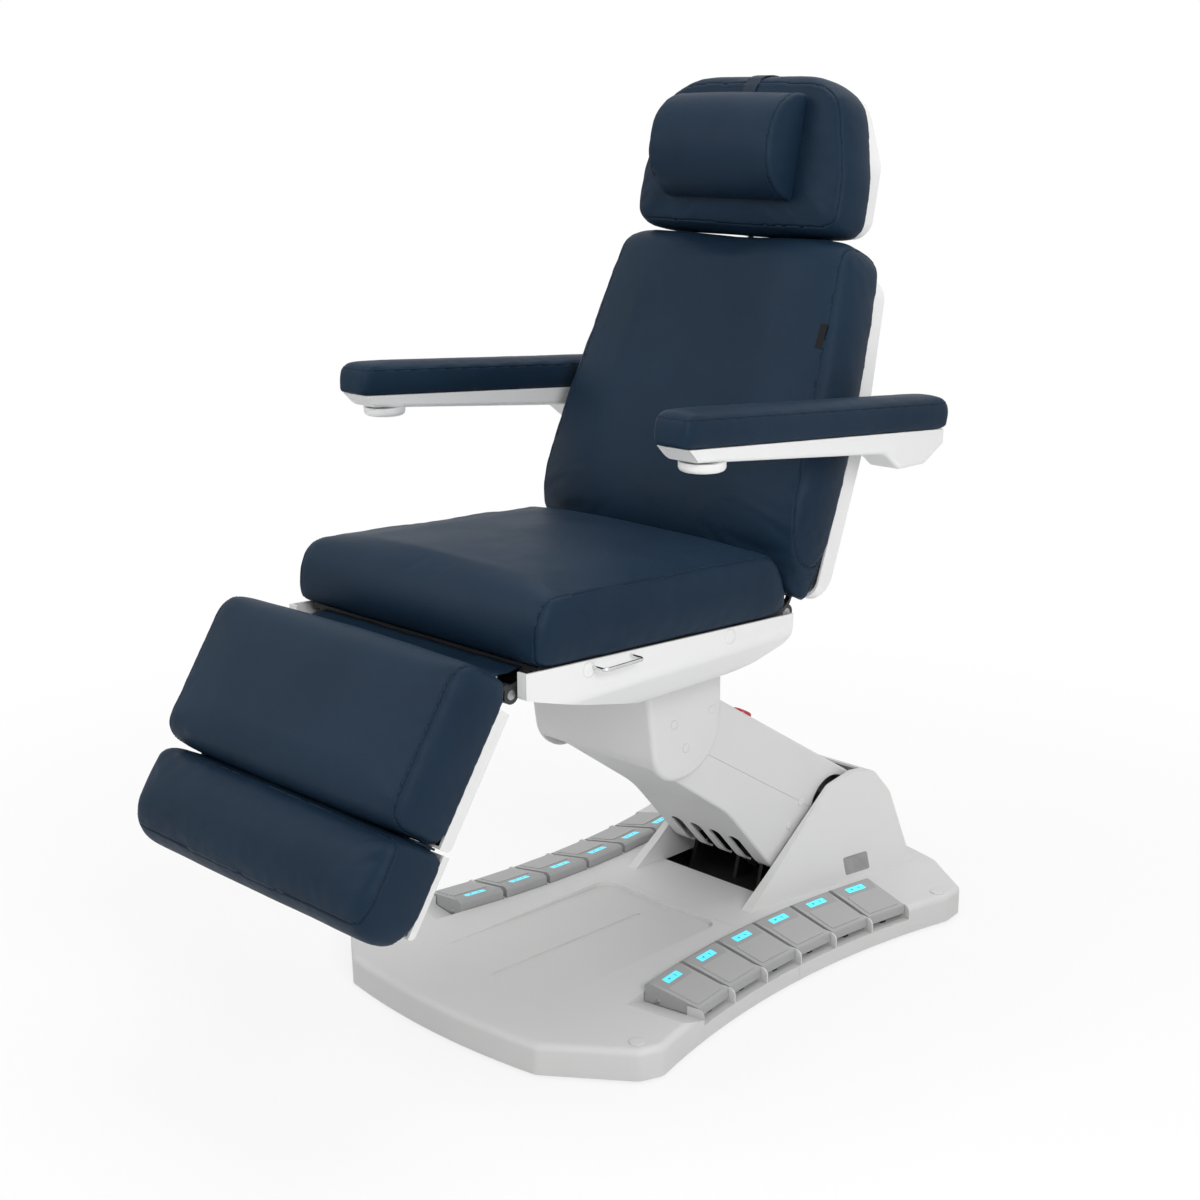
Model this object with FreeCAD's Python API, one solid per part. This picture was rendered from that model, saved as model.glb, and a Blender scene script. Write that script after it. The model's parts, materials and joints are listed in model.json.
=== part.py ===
import FreeCAD, Part
import math
import os

# Procedure chair. +Z is up, the chair faces -Y, +X is the sitter's left.
# The origin lies on the floor under the middle of the whole chair.
# Lengths are millimetres, angles are degrees. Names that end in share are parts of a size.

V = FreeCAD.Vector
ACROSS = V(1, 0, 0)
ALONG = V(0, 1, 0)
UP = V(0, 0, 1)
RIGHT_ANGLE = 90.0

# Fits and walls shared by all sub-parts
slip = 0.4
running_fit = 0.05
overrun = 12.0
cover_wall = 4.0
shell_wall = 4.0
parting_gap = 0.5
bed_gap = 0.3
edge_round = 6.0

# Base plan: bowed front, shoulders, waisted sides and heels
base_front_y = -402.0
base_front_corner_x = 241.0
base_front_corner_y = -381.0
base_shoulder_x = 381.0
base_shoulder_y = -276.0
base_side_front_x = 396.0
base_side_front_y = -235.0
base_waist_x = 338.0
base_waist_y = 205.0
base_side_rear_x = 386.0
base_side_rear_y = 605.0
base_heel_x = 379.0
base_heel_y = 660.0
base_rear_corner_x = 264.0
base_rear_corner_y = 742.0
base_rear_y = 784.4
base_corner_round = 26.0
skirt_bottom_z = 4.0
deck_z = 60.0
deck_edge_round = 12.0
cover_split_y = 200.0
cover_boss_radius = 14.0
boss_row_share = 0.86
upright_share = 0.999

# Tray recess in the front deck
tray_half_width = 150.0
tray_front_y = -258.0
tray_rear_y = 190.0
tray_depth = 9.0
tray_corner_round = 30.0
tray_groove_width = 9.0
tray_groove_depth = 2.4

# Steel base frame
base_plate_bottom_z = 12.0
base_plate_thickness = 8.0
base_spine_half_width = 142.0
base_spine_front_y = -290.0
base_spine_rear_y = 700.0
outrigger_width = 60.0
outrigger_round = 20.0
foot_x = 350.0
foot_front_y = -252.0
foot_rear_y = 605.0
foot_pad_radius = 24.0
foot_stem_radius = 8.0
outrigger_overhang = 25.0
yoke_plate_inner_x = 130.5
yoke_plate_thickness = 8.0
yoke_plate_front_y = 430.0
yoke_plate_rear_y = 662.0
yoke_head_radius = 46.0
yoke_round_share = 0.9

# Pedals, six on each side along an arc beside the waist
pedal_count = 6
pedal_row_y = 204.0
pedal_arc_radius = 1775.0
pedal_arc_centre_x = 1989.0
pedal_pitch_angle = 3.516
pedal_length = 112.0
pedal_inner_width = 100.0
pedal_outer_width = 95.0
pedal_inner_top_z = 80.0
pedal_outer_top_z = 60.0
pedal_bottom_z = 43.0
pedal_hinge_in = 28.0
pedal_hinge_z = 50.0
pedal_crest = 8.0
pedal_crest_drop = 5.0
pedal_crest_round = 12.0
pedal_back_round = 4.0
pedal_nose_round = 3.0
pedal_pin_radius = 3.0
pedal_side_gap = 2.0
pedal_pocket_floor_z = 33.0
pedal_pocket_inset = 3.0
pedal_bank_wall = 4.0
pedal_bank_floor = 4.0
pedal_ramp_length = 56.0
pedal_pad_inset = 8.0
pedal_pad_start = 42.0
pedal_pad_end = 105.0
pedal_pad_rise = 1.2
pedal_pad_round = 5.0
pedal_window_start = 17.0
pedal_window_length = 16.0
pedal_window_width = 46.0
pedal_window_depth = 1.0
switch_length = 20.0
switch_width = 12.0
switch_height = 3.0
switch_from_hinge = 56.0

# Yoke cheeks of the rear cover
cheek_inner_x = 139.5
cheek_front_y = 262.0
cheek_knee_y = 335.0
cheek_knee_z = 106.0
cheek_slope_y = 440.0
cheek_slope_z = 184.0
cheek_brow_y = 525.0
cheek_brow_z = 247.0
cheek_top_y = 600.0
cheek_top_z = 259.0
cheek_crown_y = 650.0
cheek_crown_z = 252.0
cheek_back_y = 680.0
cheek_back_z = 205.0
cheek_heel_y = 696.0
cheek_front_foot_x = 160.0
cheek_rear_foot_x = 228.0
cheek_rear_foot_y = 660.0
cheek_top_x = 154.0
cheek_round = 30.0
cheek_sweep = 120.0
well_front_y = 350.0
well_rear_y = 664.0

# Lift arm: pivots and cover
lift_pivot_y = 557.0
lift_pivot_z = 190.0
knuckle_pivot_y = 95.0
knuckle_pivot_z = 470.0
arm_half_width = 128.0
arm_top = 82.0
arm_end_reach = 80.0
arm_end_round = 78.0
arm_chin_depth = 84.0
arm_belly_depth = 104.0
arm_belly_bend = 308.0
arm_keel_depth = 166.0
arm_keel_reach = 104.0
arm_heel_reach = 76.0
arm_heel_depth = 70.0
arm_heel_round = 66.0
arm_keel_round = 60.0
arm_bend_round = 260.0
arm_seam_drop = 20.0
arm_pivot_window = 66.0
arm_open_end = 104.0
arm_slot_length = 104.0
arm_slot_width = 28.0
arm_slot_pitch = 50.0
arm_slot_count = 4
arm_slot_reach = 152.0
slot_round_share = 0.9

# Lift arm frame and shafts
arm_plate_inner_x = 62.0
arm_plate_thickness = 8.0
arm_plate_top = 45.0
arm_plate_bottom = 18.0
arm_hub_radius = 36.0
arm_tube_radius = 15.0
arm_tube_height = 25.0
arm_tube_shares = (0.4, 0.58, 0.8)
arm_rib_thickness = 10.0
arm_rib_reach = 250.0
main_shaft_radius = 20.0
link_shaft_radius = 12.0
link_drop = 52.0
link_bar_inner_x = 40.0
link_bar_thickness = 10.0
link_bar_half_depth = 13.0
link_eye_radius = 24.0
link_web_share = 0.72

# Lift actuator: an even-sided triangle about the lower pivot
actuator_arm = 150.0
actuator_spread_angle = 90.0
actuator_radius = 25.0
actuator_length_share = 0.66
actuator_lug_radius = 15.0
actuator_lug_thickness = 8.0
actuator_lug_inner_x = 27.0
actuator_pin_radius = 9.0
actuator_eye_width = 24.0
actuator_eye_radius = 20.0
actuator_eye_clearance = 5.0
actuator_rod_radius = 12.0
actuator_rod_inside_share = 0.45

# Stop button on the arm's top
stop_reach = 217.0
stop_collar_radius = 23.0
stop_collar_height = 9.0
stop_stem_radius = 8.0
stop_cap_radius = 20.0
stop_cap_height = 9.0
stop_height = 26.0
stop_travel = 6.0

# Knuckle under the seat
knuckle_half_width = 155.0
knuckle_front_top_y = -32.0
knuckle_front_low_y = 10.0
knuckle_rear_y = 182.0
knuckle_low_z = 380.0
knuckle_top_z = 650.0
knuckle_front_round = 70.0
knuckle_rear_round = 102.0
knuckle_front_wall = 6.0
knuckle_chin_z = 408.0
knuckle_edge_round = 10.0
bracket_front_y = 40.0
bracket_rear_y = 150.0
bracket_low_z = 392.0
bracket_round = 30.0

# Seat
seat_length = 614.0
seat_rear_y = 185.0
seat_rear_z = 698.0
seat_tilt_angle = 2.7
seat_half_width = 304.0
seat_side = 100.0
seat_crown = 14.0
seat_rise = 10.0
seat_roll = 26.0
seat_draw = 6.0
seat_board_thickness = 8.0
seat_board_inset = 22.0
seat_rail_in = 64.0
seat_rail_width = 24.0
seat_rail_depth = 28.0
seat_cross_depth = 26.0
seat_cross_half_width = 150.0
seat_arm_reach = 82.0
eye_arm_share = 0.8
seat_arm_share = 0.4

# Seat pan, a boat-shaped shell
pan_edge_in = 6.0
pan_rear_out = 18.0
pan_rear_low_z = 640.0
pan_step_y = 140.0
pan_step_z = 612.0
pan_keel_rear_y = 60.0
pan_keel_front_y = -110.0
pan_keel_z = 592.0
pan_rise_in = 146.0
pan_rise_z = 641.0
pan_front_out = 17.0
pan_front_z = 684.0
pan_top_drop = 1.0
pan_side_z = 662.0
pan_bilge_in = 50.0
pan_side_round = 40.0
pan_bilge_round = 60.0
pan_rear_round = 20.0
pan_step_round = 90.0
pan_keel_round = 110.0
pan_rise_round = 260.0

# Chrome hook for the hand control
hook_wire_radius = 3.0
hook_front_in = 127.0
hook_span = 88.0
hook_out = 22.0
hook_root_in = 19.0
hook_z = 708.0
hook_bend = 8.0
hook_fit = 0.1

# Leg rest, drawn flat about its hinge and then lowered
leg_hinge_out = 24.0
leg_hinge_z = 690.0
leg_lowered_angle = 56.5
hinge_pin_radius = 8.0
hinge_eye_radius = 15.0
hinge_eye_thickness = 10.0
hinge_seat_eye_in = 42.0
hinge_eye_gap = 3.0
calf_start = -10.0
calf_length = 268.0
calf_seat = 33.0
calf_side = 104.0
calf_crown = 18.0
calf_rise = 5.0
calf_roll = 32.0
calf_draw = 6.0
calf_shell_in = 4.0
calf_shell_start = 30.0
calf_shell_end = 258.0
calf_shell_bottom = -2.0
calf_shell_round = 16.0
shell_flank_inset = 16.0
foot_gap = 6.0
foot_length = 160.0
foot_seat = 18.0
foot_side = 106.0
foot_crown = 18.0
foot_shell_bottom = -5.0
foot_shell_length = 134.0
foot_travel = 120.0
leg_rail_in = 23.0
leg_rail_width = 30.0
leg_rail_bottom = 5.0
leg_rail_height = 22.0
leg_cross_width = 26.0
foot_rail_width = 20.0
foot_rail_height = 10.0
foot_rail_rise = 2.0
foot_board_gap = 0.9
foot_rail_hold = 70.0

# Fabric flap over the leg hinge
flap_radius = 27.0
flap_thickness = 2.0
flap_in = 3.0
flap_start_angle = 48.0
flap_end_angle = 165.0
flap_lip_share = 0.76

# Back, drawn flat behind its hinge and then raised
back_hinge_out = 32.0
back_hinge_z = 690.0
back_raised_angle = 68.0
back_start = 26.0
back_length = 635.0
back_side_out = 14.0
back_seat = -14.0
back_side = 112.0
back_crown = 20.0
back_dish = 12.0
back_roll = 170.0
back_draw = 6.0
back_shell_rear = -50.0
back_shell_start = 34.0
back_shell_end = 636.0
back_shell_low_in = 6.0
back_shell_mid_in = 14.0
back_shell_mid = 330.0
back_shell_top_in = 60.0
back_shell_corner = 56.0
back_shell_waist_round = 224.0
back_shell_slope_rise = 22.0
back_shell_low_dome = 44.0
back_shell_top_dome = 33.0
back_rail_in = 13.0
back_rail_width = 26.0
back_rail_height = 16.0
back_board_thickness = 6.0
back_board_inset = 40.0
back_arm_reach = 45.0

# Head rest
head_pivot_out = 261.0
head_pivot_up = 680.0
head_lean_angle = 12.0
head_drop = 52.0
head_back = 20.0
head_length = 284.0
head_half_width = 243.0
head_seat = -3.0
head_side = 82.0
head_crown = 16.0
head_rise = 4.0
head_roll = 40.0
head_draw = 5.0
head_shell_rear = -38.0
head_shell_start = 8.0
head_shell_length = 264.0
head_shell_low_half = 226.0
head_shell_top_half = 168.0
head_shell_corner = 60.0
head_shell_slope_rise = 16.0
head_shell_dome = 48.0
head_rod_radius = 8.0
head_rod_x = 60.0
head_rod_level = -25.5
head_rod_hold = 22.0
head_rod_end = 704.0
head_sleeve_radius = 11.0
head_sleeve_length = 90.0
head_bar_height = 16.0
head_bar_overhang = 16.0
head_lug_thickness = 10.0
head_lug_inner_x = 34.0
head_lug_length = 52.0
head_tie_width = 26.0
head_plate_length = 52.0
head_eye_radius = 13.0
head_hinge_radius = 7.0
head_travel = 100.0
pillow_half_width = 147.0
pillow_start = 52.0
pillow_length = 190.0
pillow_height = 88.0
pillow_end_inset = 8.0
pillow_form_shares = (
    (-1.0, 0.88), (-0.985, 0.94), (-0.95, 0.98), (-0.86, 1.0), (-0.72, 1.0), (-0.4, 1.0), (0.0, 1.0),
    (0.4, 1.0), (0.72, 1.0), (0.86, 1.0), (0.95, 0.98), (0.985, 0.94), (1.0, 0.88),
)
pillow_quarter_share = 0.36
pillow_side_share = 0.74

# Armrests
arm_pivot_out = 154.4
arm_pivot_up = 299.5
arm_tilt_angle = 4.2
pad_front_reach = 602.4
pad_rear_z = 1007.0
pad_length = 704.0
pad_side_out = 37.0
pad_half_width = 37.0
pad_side = 46.0
pad_crown = 10.0
pad_rise = 2.0
pad_roll = 12.0
pad_draw = 2.0
arm_shell_half_width = 34.0
arm_shell_front_depth = 24.0
arm_shell_front_inset = 14.0
arm_shell_rear_depth = 36.0
arm_shell_rear_inset = 8.0
arm_shell_waist_share = 0.74
arm_boss_radius = 38.0
arm_tail_rise = 30.0
arm_shell_round = 8.0
arm_cap_radius = 38.0
arm_cap_height = 16.0
arm_cap_reach = 82.0
arm_cap_round = 8.0
hub_gap = 4.0
hub_width = 28.0
hub_radius = 30.0
hub_shaft_radius = 10.0
shaft_boss_half = 15.0
hub_pin_radius = 11.0
hub_pin_length = 24.0
hub_wall = 4.0
hub_chamfer = 3.0

# Drives and electrics
drive_radius = 24.0
drive_length = 150.0
drive_gear_radius = 30.0
drive_gear_length = 40.0
drive_drop = 1.2
drive_gap = 0.6
leg_drive_y = -220.0
back_drive_y = -60.0
control_half_width = 100.0
control_front_y = -190.0
control_rear_y = -40.0
control_height = 24.0
inlet_x = 0.0
inlet_width = 50.0
inlet_height = 26.0
inlet_depth = 24.0
inlet_z = 20.0
inlet_flange = 4.0
inlet_set_back = 1.0
inlet_socket_inset = 6.0
inlet_socket_depth = 16.0
inlet_fit = 0.1

# Rolled ends of the cushions: how far a roll reaches and how far the corners draw in
seat_front_roll = 46.0
seat_rear_roll = 60.0
seat_corner = 12.0
calf_near_roll = 40.0
calf_far_roll = 34.0
calf_corner = 16.0
foot_near_roll = 24.0
foot_far_roll = 66.0
foot_corner = 26.0
back_low_roll = 150.0
back_top_roll = 44.0
back_low_corner = 18.0
back_top_corner = 44.0
head_low_roll = 36.0
head_top_roll = 66.0
head_low_corner = 34.0
head_top_corner = 96.0
pad_front_roll = 26.0
pad_rear_roll = 26.0
pad_front_corner = 9.0
pad_rear_corner = 8.0

# Shares by which an end's underside lifts and its side drops, and the power of its curve:
# one half gives a round end, one a bevelled end
soft_end_shares = (0.12, 0.3, 0.5)
seat_front_shares = (0.14, 0.5, 0.5)
seat_rear_shares = (0.06, 0.65, 1.0)
back_low_shares = (0.0, 0.634, 1.0)
foot_far_shares = (0.42, 0.42, 0.5)
pad_end_shares = (0.08, 0.2, 0.5)
level_taper_shares = ((0.0, 1.0), (1.0, 1.0))
back_taper_shares = ((0.0, 1.0), (0.3, 1.0), (0.5, 0.975), (0.8, 0.9), (1.0, 0.84))
head_taper_shares = ((0.0, 1.0), (0.35, 1.0), (0.7, 0.9), (1.0, 0.8))
roll_station_shares = (0.0, 0.05, 0.18, 0.4, 0.7, 1.0, 1.5, 2.4)
middle_stations = 3
side_bulge_share = 0.6
roll_out_share = 0.29
roll_up_share = 0.71
near_limit_share = 0.48
end_crown_share = 0.85

# Values that follow from the ones above
seat_front_y = seat_rear_y - seat_length
leg_hinge_y = seat_front_y - leg_hinge_out
back_hinge_y = seat_rear_y + back_hinge_out
seat_rail_x = seat_half_width - seat_rail_in
hinge_seat_eye_x = seat_half_width - hinge_seat_eye_in
hinge_leg_eye_x = hinge_seat_eye_x - hinge_eye_thickness - hinge_eye_gap
pan_half_width = seat_half_width - pan_edge_in
pan_bilge_x = pan_half_width - pan_bilge_in
pan_front_y = seat_front_y - pan_front_out
pan_rear_y = seat_rear_y + pan_rear_out
pan_rise_y = pan_front_y + pan_rise_in
hook_front_y = seat_front_y + hook_front_in
hook_rear_y = hook_front_y + hook_span
hook_root_x = seat_half_width - hook_root_in
hook_reach_x = seat_half_width + hook_out
calf_half_width = seat_half_width
calf_shell_half_width = calf_half_width - calf_shell_in
leg_rail_x = hinge_leg_eye_x - leg_rail_in
flap_half_width = hinge_leg_eye_x - flap_in
back_half_width = seat_half_width + back_side_out
back_shell_low_half = back_half_width - back_shell_low_in
back_shell_mid_half = back_half_width - back_shell_mid_in
back_shell_top_half = back_half_width - back_shell_top_in
back_rail_x = hinge_leg_eye_x - back_rail_in
hub_inner_x = back_half_width + hub_gap
hub_outer_x = hub_inner_x + hub_width
pad_centre_x = hub_outer_x + pad_side_out
arm_pivot_y = back_hinge_y + arm_pivot_out
arm_pivot_z = back_hinge_z + arm_pivot_up
pad_front_y = arm_pivot_y - pad_front_reach
head_pivot_y = back_hinge_y + head_pivot_out
head_pivot_z = back_hinge_z + head_pivot_up
deck_underside_z = deck_z - cover_wall
base_plate_top_z = base_plate_bottom_z + base_plate_thickness
lift_rise = knuckle_pivot_z - lift_pivot_z
lift_run = lift_pivot_y - knuckle_pivot_y
arm_length = math.hypot(lift_run, lift_rise)
arm_angle = math.degrees(math.atan2(lift_rise, lift_run))
yoke_plate_outer_x = yoke_plate_inner_x + yoke_plate_thickness
head_turn = math.radians(head_lean_angle)
head_base_y = head_pivot_y - head_drop * math.sin(head_turn) - head_back * math.cos(head_turn)
head_base_z = head_pivot_z - head_drop * math.cos(head_turn) + head_back * math.sin(head_turn)
actuator_span = actuator_arm * 2 * math.sin(math.radians(actuator_spread_angle / 2))
foot_rail_inside = foot_travel + foot_rail_hold
head_sleeve_end = back_shell_end - back_shell_low_dome
head_rod_start = head_sleeve_end - head_travel - head_rod_hold


# Outlines and solids

def rounded_wire(corners, radii, place):
    """Closed wire of straight runs that meet in tangent arcs; place maps two numbers to a point."""
    flat = [V(first, second, 0) for first, second in corners]
    spans = []
    for index, here in enumerate(flat):
        back = (flat[index - 1] - here).normalize()
        ahead = (flat[(index + 1) % len(flat)] - here).normalize()
        half_turn = back.getAngle(ahead) / 2
        radius = radii[index]
        reach = radius / math.tan(half_turn)
        inward = (back + ahead).normalize()
        middle = here + inward * (radius / math.sin(half_turn) - radius)
        spans.append((here + back * reach, middle, here + ahead * reach))
    edges = []
    for index, (start, middle, end) in enumerate(spans):
        if radii[index] > 0:
            edges.append(Part.Arc(place(start), place(middle), place(end)).toShape())
        following = spans[(index + 1) % len(spans)][0]
        if end.distanceToPoint(following) > running_fit:
            edges.append(Part.makeLine(place(end), place(following)))
    return Part.Wire(edges)


def four_corners(low, high):
    """Corners of an upright rectangle between two opposite corners."""
    return [low, (high[0], low[1]), high, (low[0], high[1])]


def side_prism(corners, radii, x_from, x_to):
    """Solid between two X places whose side view has the given (y, z) corners."""
    wire = rounded_wire(corners, radii, lambda spot: V(x_from, spot.x, spot.y))
    return Part.Face(wire).extrude(ACROSS * (x_to - x_from))


def front_prism(corners, radii, y_from, y_to):
    """Solid between two Y places whose front view has the given (x, z) corners."""
    wire = rounded_wire(corners, radii, lambda spot: V(spot.x, y_from, spot.y))
    return Part.Face(wire).extrude(ALONG * (y_to - y_from))


def plan_prism(corners, radii, z_from, z_to):
    """Solid between two heights whose plan has the given (x, y) corners."""
    wire = rounded_wire(corners, radii, lambda spot: V(spot.x, spot.y, z_from))
    return Part.Face(wire).extrude(UP * (z_to - z_from))


def block(low, high):
    """Box between two opposite corners."""
    size = V(*high) - V(*low)
    return Part.makeBox(size.x, size.y, size.z, V(*low))


def rod_across(radius, x_from, x_to, y, z):
    """Round bar along X."""
    return Part.makeCylinder(radius, x_to - x_from, V(x_from, y, z), ACROSS)


def post(radius, x, y, z_from, z_to):
    """Upright round bar."""
    return Part.makeCylinder(radius, z_to - z_from, V(x, y, z_from))


def mirrored(shape):
    """The same piece on the other side of the chair."""
    return shape.mirror(V(0, 0, 0), ACROSS)


def both_sides(shape):
    """A piece and its mirror image as one group."""
    return Part.makeCompound([shape, mirrored(shape)])


def fused(shapes):
    """One solid of touching shapes."""
    return shapes[0].multiFuse(shapes[1:]).removeSplitter()


def turned(shape, y, z, angle):
    """A piece drawn about the origin, turned about X and moved to its place in the side view."""
    moved = shape.copy()
    moved.Placement = FreeCAD.Placement(V(0, y, z), FreeCAD.Rotation(ACROSS, angle)) * moved.Placement
    return moved


def turned_point(along, up, y, z, angle):
    """Side-view place of a point drawn about the origin and then turned."""
    spot = FreeCAD.Rotation(ACROSS, angle).multVec(V(0, along, up))
    return spot.y + y, spot.z + z


def cushion_section(y, half, base, side, crown, rise, roll, draw):
    """Closed section: flat base, drawn-in sides that swell a little, rolled edges and a crowned top."""
    top = side + crown
    foot = V(half - draw, y, base)
    swell = V(half + draw * side_bulge_share, y, (base + side) / 2)
    seam = V(half, y, side)
    shoulder = V(half - roll * roll_out_share, y, side + crown * roll_up_share)
    ridge = V(half - roll, y, top)
    middle = V(0, y, top + rise)

    def other(point):
        return V(-point.x, point.y, point.z)

    return Part.Wire([
        Part.makeLine(other(foot), foot),
        Part.Arc(foot, swell, seam).toShape(),
        Part.Arc(seam, shoulder, ridge).toShape(),
        Part.Arc(ridge, middle, other(ridge)).toShape(),
        Part.Arc(other(ridge), other(shoulder), other(seam)).toShape(),
        Part.Arc(other(seam), other(swell), other(foot)).toShape(),
    ])


def taper_at(share, taper_shares):
    """Share of the half width at a share of the length."""
    for (start, low), (end, high) in zip(taper_shares, taper_shares[1:]):
        if share <= end:
            return low + (high - low) * (share - start) / (end - start)
    return taper_shares[-1][1]


def fullness(share, power):
    """How full a rolled end is at a share of its roll."""
    return (1 - (1 - min(share, 1)) ** 2) ** power


def cushion_stations(length, near_roll, far_roll):
    """Places along a cushion where its sections stand, close together at the rolled ends."""
    near_limit = length * near_limit_share
    near = [near_roll * share for share in roll_station_shares if near_roll * share < near_limit]
    far = [length - far_roll * share for share in roll_station_shares
           if far_roll * share < length - near_limit]
    step = (far[-1] - near[-1]) / (middle_stations + 1)
    middle = [near[-1] + step * (number + 1) for number in range(middle_stations)]
    return near + middle + far[::-1]


def cushion(length, half, side, crown, rise, roll, draw, near_end, far_end, taper_shares):
    """Upholstered block from y = 0 to y = length, lofted through its crowned sections.

    Each end is its roll, its corner inset and its shares of lift, drop and curve.
    """
    near_roll, near_corner, (near_lift, near_drop, near_power) = near_end
    far_roll, far_corner, (far_lift, far_drop, far_power) = far_end
    wires = []
    for y in cushion_stations(length, near_roll, far_roll):
        near_slack = 1 - fullness(y / near_roll, near_power)
        far_slack = 1 - fullness((length - y) / far_roll, far_power)
        full = 1 - max(near_slack, far_slack) * end_crown_share
        wide = half * taper_at(y / length, taper_shares) - near_corner * near_slack - far_corner * far_slack
        lift = near_lift * near_slack + far_lift * far_slack
        drop = near_drop * near_slack + far_drop * far_slack
        wires.append(cushion_section(y, wide, side * lift, side * (1 - drop), crown * full, rise * full,
                                     roll, draw))
    return Part.makeLoft(wires, True, False)


# Base

def base_outline():
    """Flat face of the base plan."""
    side = [
        V(base_front_corner_x, base_front_corner_y, 0),
        V(base_shoulder_x, base_shoulder_y, 0),
        V(base_side_front_x, base_side_front_y, 0),
        V(base_waist_x, base_waist_y, 0),
        V(base_side_rear_x, base_side_rear_y, 0),
        V(base_heel_x, base_heel_y, 0),
        V(base_rear_corner_x, base_rear_corner_y, 0),
    ]
    front, shoulder, start, waist, end, heel, rear = side
    edges = [
        Part.makeLine(front, shoulder),
        Part.makeLine(shoulder, start),
        Part.Arc(start, waist, end).toShape(),
        Part.makeLine(end, heel),
        Part.makeLine(heel, rear),
    ]
    edges += [mirrored(edge) for edge in edges]
    edges.append(Part.Arc(V(-front.x, front.y, 0), V(0, base_front_y, 0), front).toShape())
    edges.append(Part.Arc(rear, V(0, base_rear_y, 0), V(-rear.x, rear.y, 0)).toShape())
    return Part.Face(Part.Wire(Part.__sortEdges__(edges)))


def upright_edges(solid):
    """Edges of a solid that stand upright."""
    found = []
    for edge in solid.Edges:
        span = edge.Vertexes[-1].Point - edge.Vertexes[0].Point
        if span.Length > 0 and abs(span.z) > span.Length * upright_share:
            found.append(edge)
    return found


def base_body():
    """Outer form of both covers as one block, with rounded corners and deck edge."""
    body = base_outline().extrude(UP * (deck_z - skirt_bottom_z))
    body.translate(UP * skirt_bottom_z)
    body = body.makeFillet(base_corner_round, upright_edges(body))
    rim = [edge for edge in body.Edges if min(v.Z for v in edge.Vertexes) > deck_z - slip]
    return body.makeFillet(deck_edge_round, rim)


def pedal_place(index):
    """Turn of one pedal of the left row about Z and the place of its inner end."""
    angle = (index - (pedal_count - 1) / 2) * pedal_pitch_angle
    turn = math.radians(angle)
    x = pedal_arc_centre_x - pedal_arc_radius * math.cos(turn)
    y = pedal_row_y + pedal_arc_radius * math.sin(turn)
    return angle, x, y


def along_row(shape, index):
    """Move a piece drawn at a pedal's inner end, pointing to +X, to its place in the left row."""
    angle, x, y = pedal_place(index)
    moved = shape.copy()
    moved.Placement = FreeCAD.Placement(V(x, y, 0), FreeCAD.Rotation(UP, -angle)) * moved.Placement
    return moved


def pedal_plan(margin, end, z_from, z_to):
    """Tapered block over a pedal's plan, grown by a margin, as far out as end."""
    taper = (pedal_inner_width - pedal_outer_width) / 2 / pedal_length
    inner = pedal_inner_width / 2 + margin
    outer = inner - taper * end
    corners = [(-margin, -inner), (end, -outer), (end, outer), (-margin, inner)]
    return plan_prism(corners, [0] * len(corners), z_from, z_to)


def on_tread(shape, start):
    """Lay a flat piece on the pedal's sloping top, at a distance from its inner end."""
    slope = (pedal_inner_top_z - pedal_outer_top_z) / (pedal_length - pedal_crest)
    level = pedal_inner_top_z - (start - pedal_crest) * slope
    angle = math.degrees(math.atan(slope))
    moved = shape.copy()
    moved.Placement = FreeCAD.Placement(V(start, 0, level), FreeCAD.Rotation(ALONG, angle))
    return moved


def tread_plate(length, width, corner, z_from, z_to):
    """Flat plate with rounded corners, drawn from its inner edge outwards."""
    return plan_prism(four_corners((0, -width / 2), (length, width / 2)), [corner] * 4, z_from, z_to)


def pedal():
    """Wedge pedal about its inner end: rounded crest, sunk label window, raised tread and pin bore."""
    corners = [
        (0, pedal_bottom_z),
        (pedal_length, pedal_bottom_z),
        (pedal_length, pedal_outer_top_z),
        (pedal_crest, pedal_inner_top_z),
        (0, pedal_inner_top_z - pedal_crest_drop),
    ]
    half = pedal_inner_width / 2
    body = front_prism(corners, [0, 0, pedal_nose_round, pedal_crest_round, pedal_back_round], -half, half)
    body = body.common(pedal_plan(0, pedal_length, 0, pedal_inner_top_z + overrun))
    tread_width = pedal_outer_width - pedal_pad_inset * 2
    tread = tread_plate(pedal_pad_end - pedal_pad_start, tread_width, pedal_pad_round, -pedal_pad_rise,
                        pedal_pad_rise)
    window = tread_plate(pedal_window_length, pedal_window_width, pedal_window_depth, -pedal_window_depth,
                         overrun)
    bore = Part.makeCylinder(pedal_pin_radius + running_fit, pedal_inner_width + overrun,
                             V(pedal_hinge_in, -(pedal_inner_width + overrun) / 2, pedal_hinge_z), ALONG)
    body = fused([body, on_tread(tread, pedal_pad_start)])
    return body.cut([on_tread(window, pedal_window_start), bore])


def pedal_bank():
    """Moulded block behind one row of pedals that holds their pockets."""
    end_length = pedal_ramp_length + pedal_bank_wall
    half_angle = math.radians(pedal_pitch_angle * pedal_count / 2) + end_length / pedal_arc_radius
    inner = pedal_arc_radius + pedal_bank_wall + pedal_pocket_inset
    outer = pedal_arc_radius - pedal_length - overrun

    def spot(radius, turn):
        return V(pedal_arc_centre_x - radius * math.cos(turn), pedal_row_y + radius * math.sin(turn), 0)

    edges = [
        Part.Arc(spot(inner, -half_angle), spot(inner, 0), spot(inner, half_angle)).toShape(),
        Part.makeLine(spot(inner, half_angle), spot(outer, half_angle)),
        Part.Arc(spot(outer, half_angle), spot(outer, 0), spot(outer, -half_angle)).toShape(),
        Part.makeLine(spot(outer, -half_angle), spot(inner, -half_angle)),
    ]
    floor_z = pedal_pocket_floor_z - pedal_bank_floor
    solid = Part.Face(Part.Wire(edges)).extrude(UP * (deck_z + overrun - floor_z))
    solid.translate(UP * floor_z)
    return solid


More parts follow.
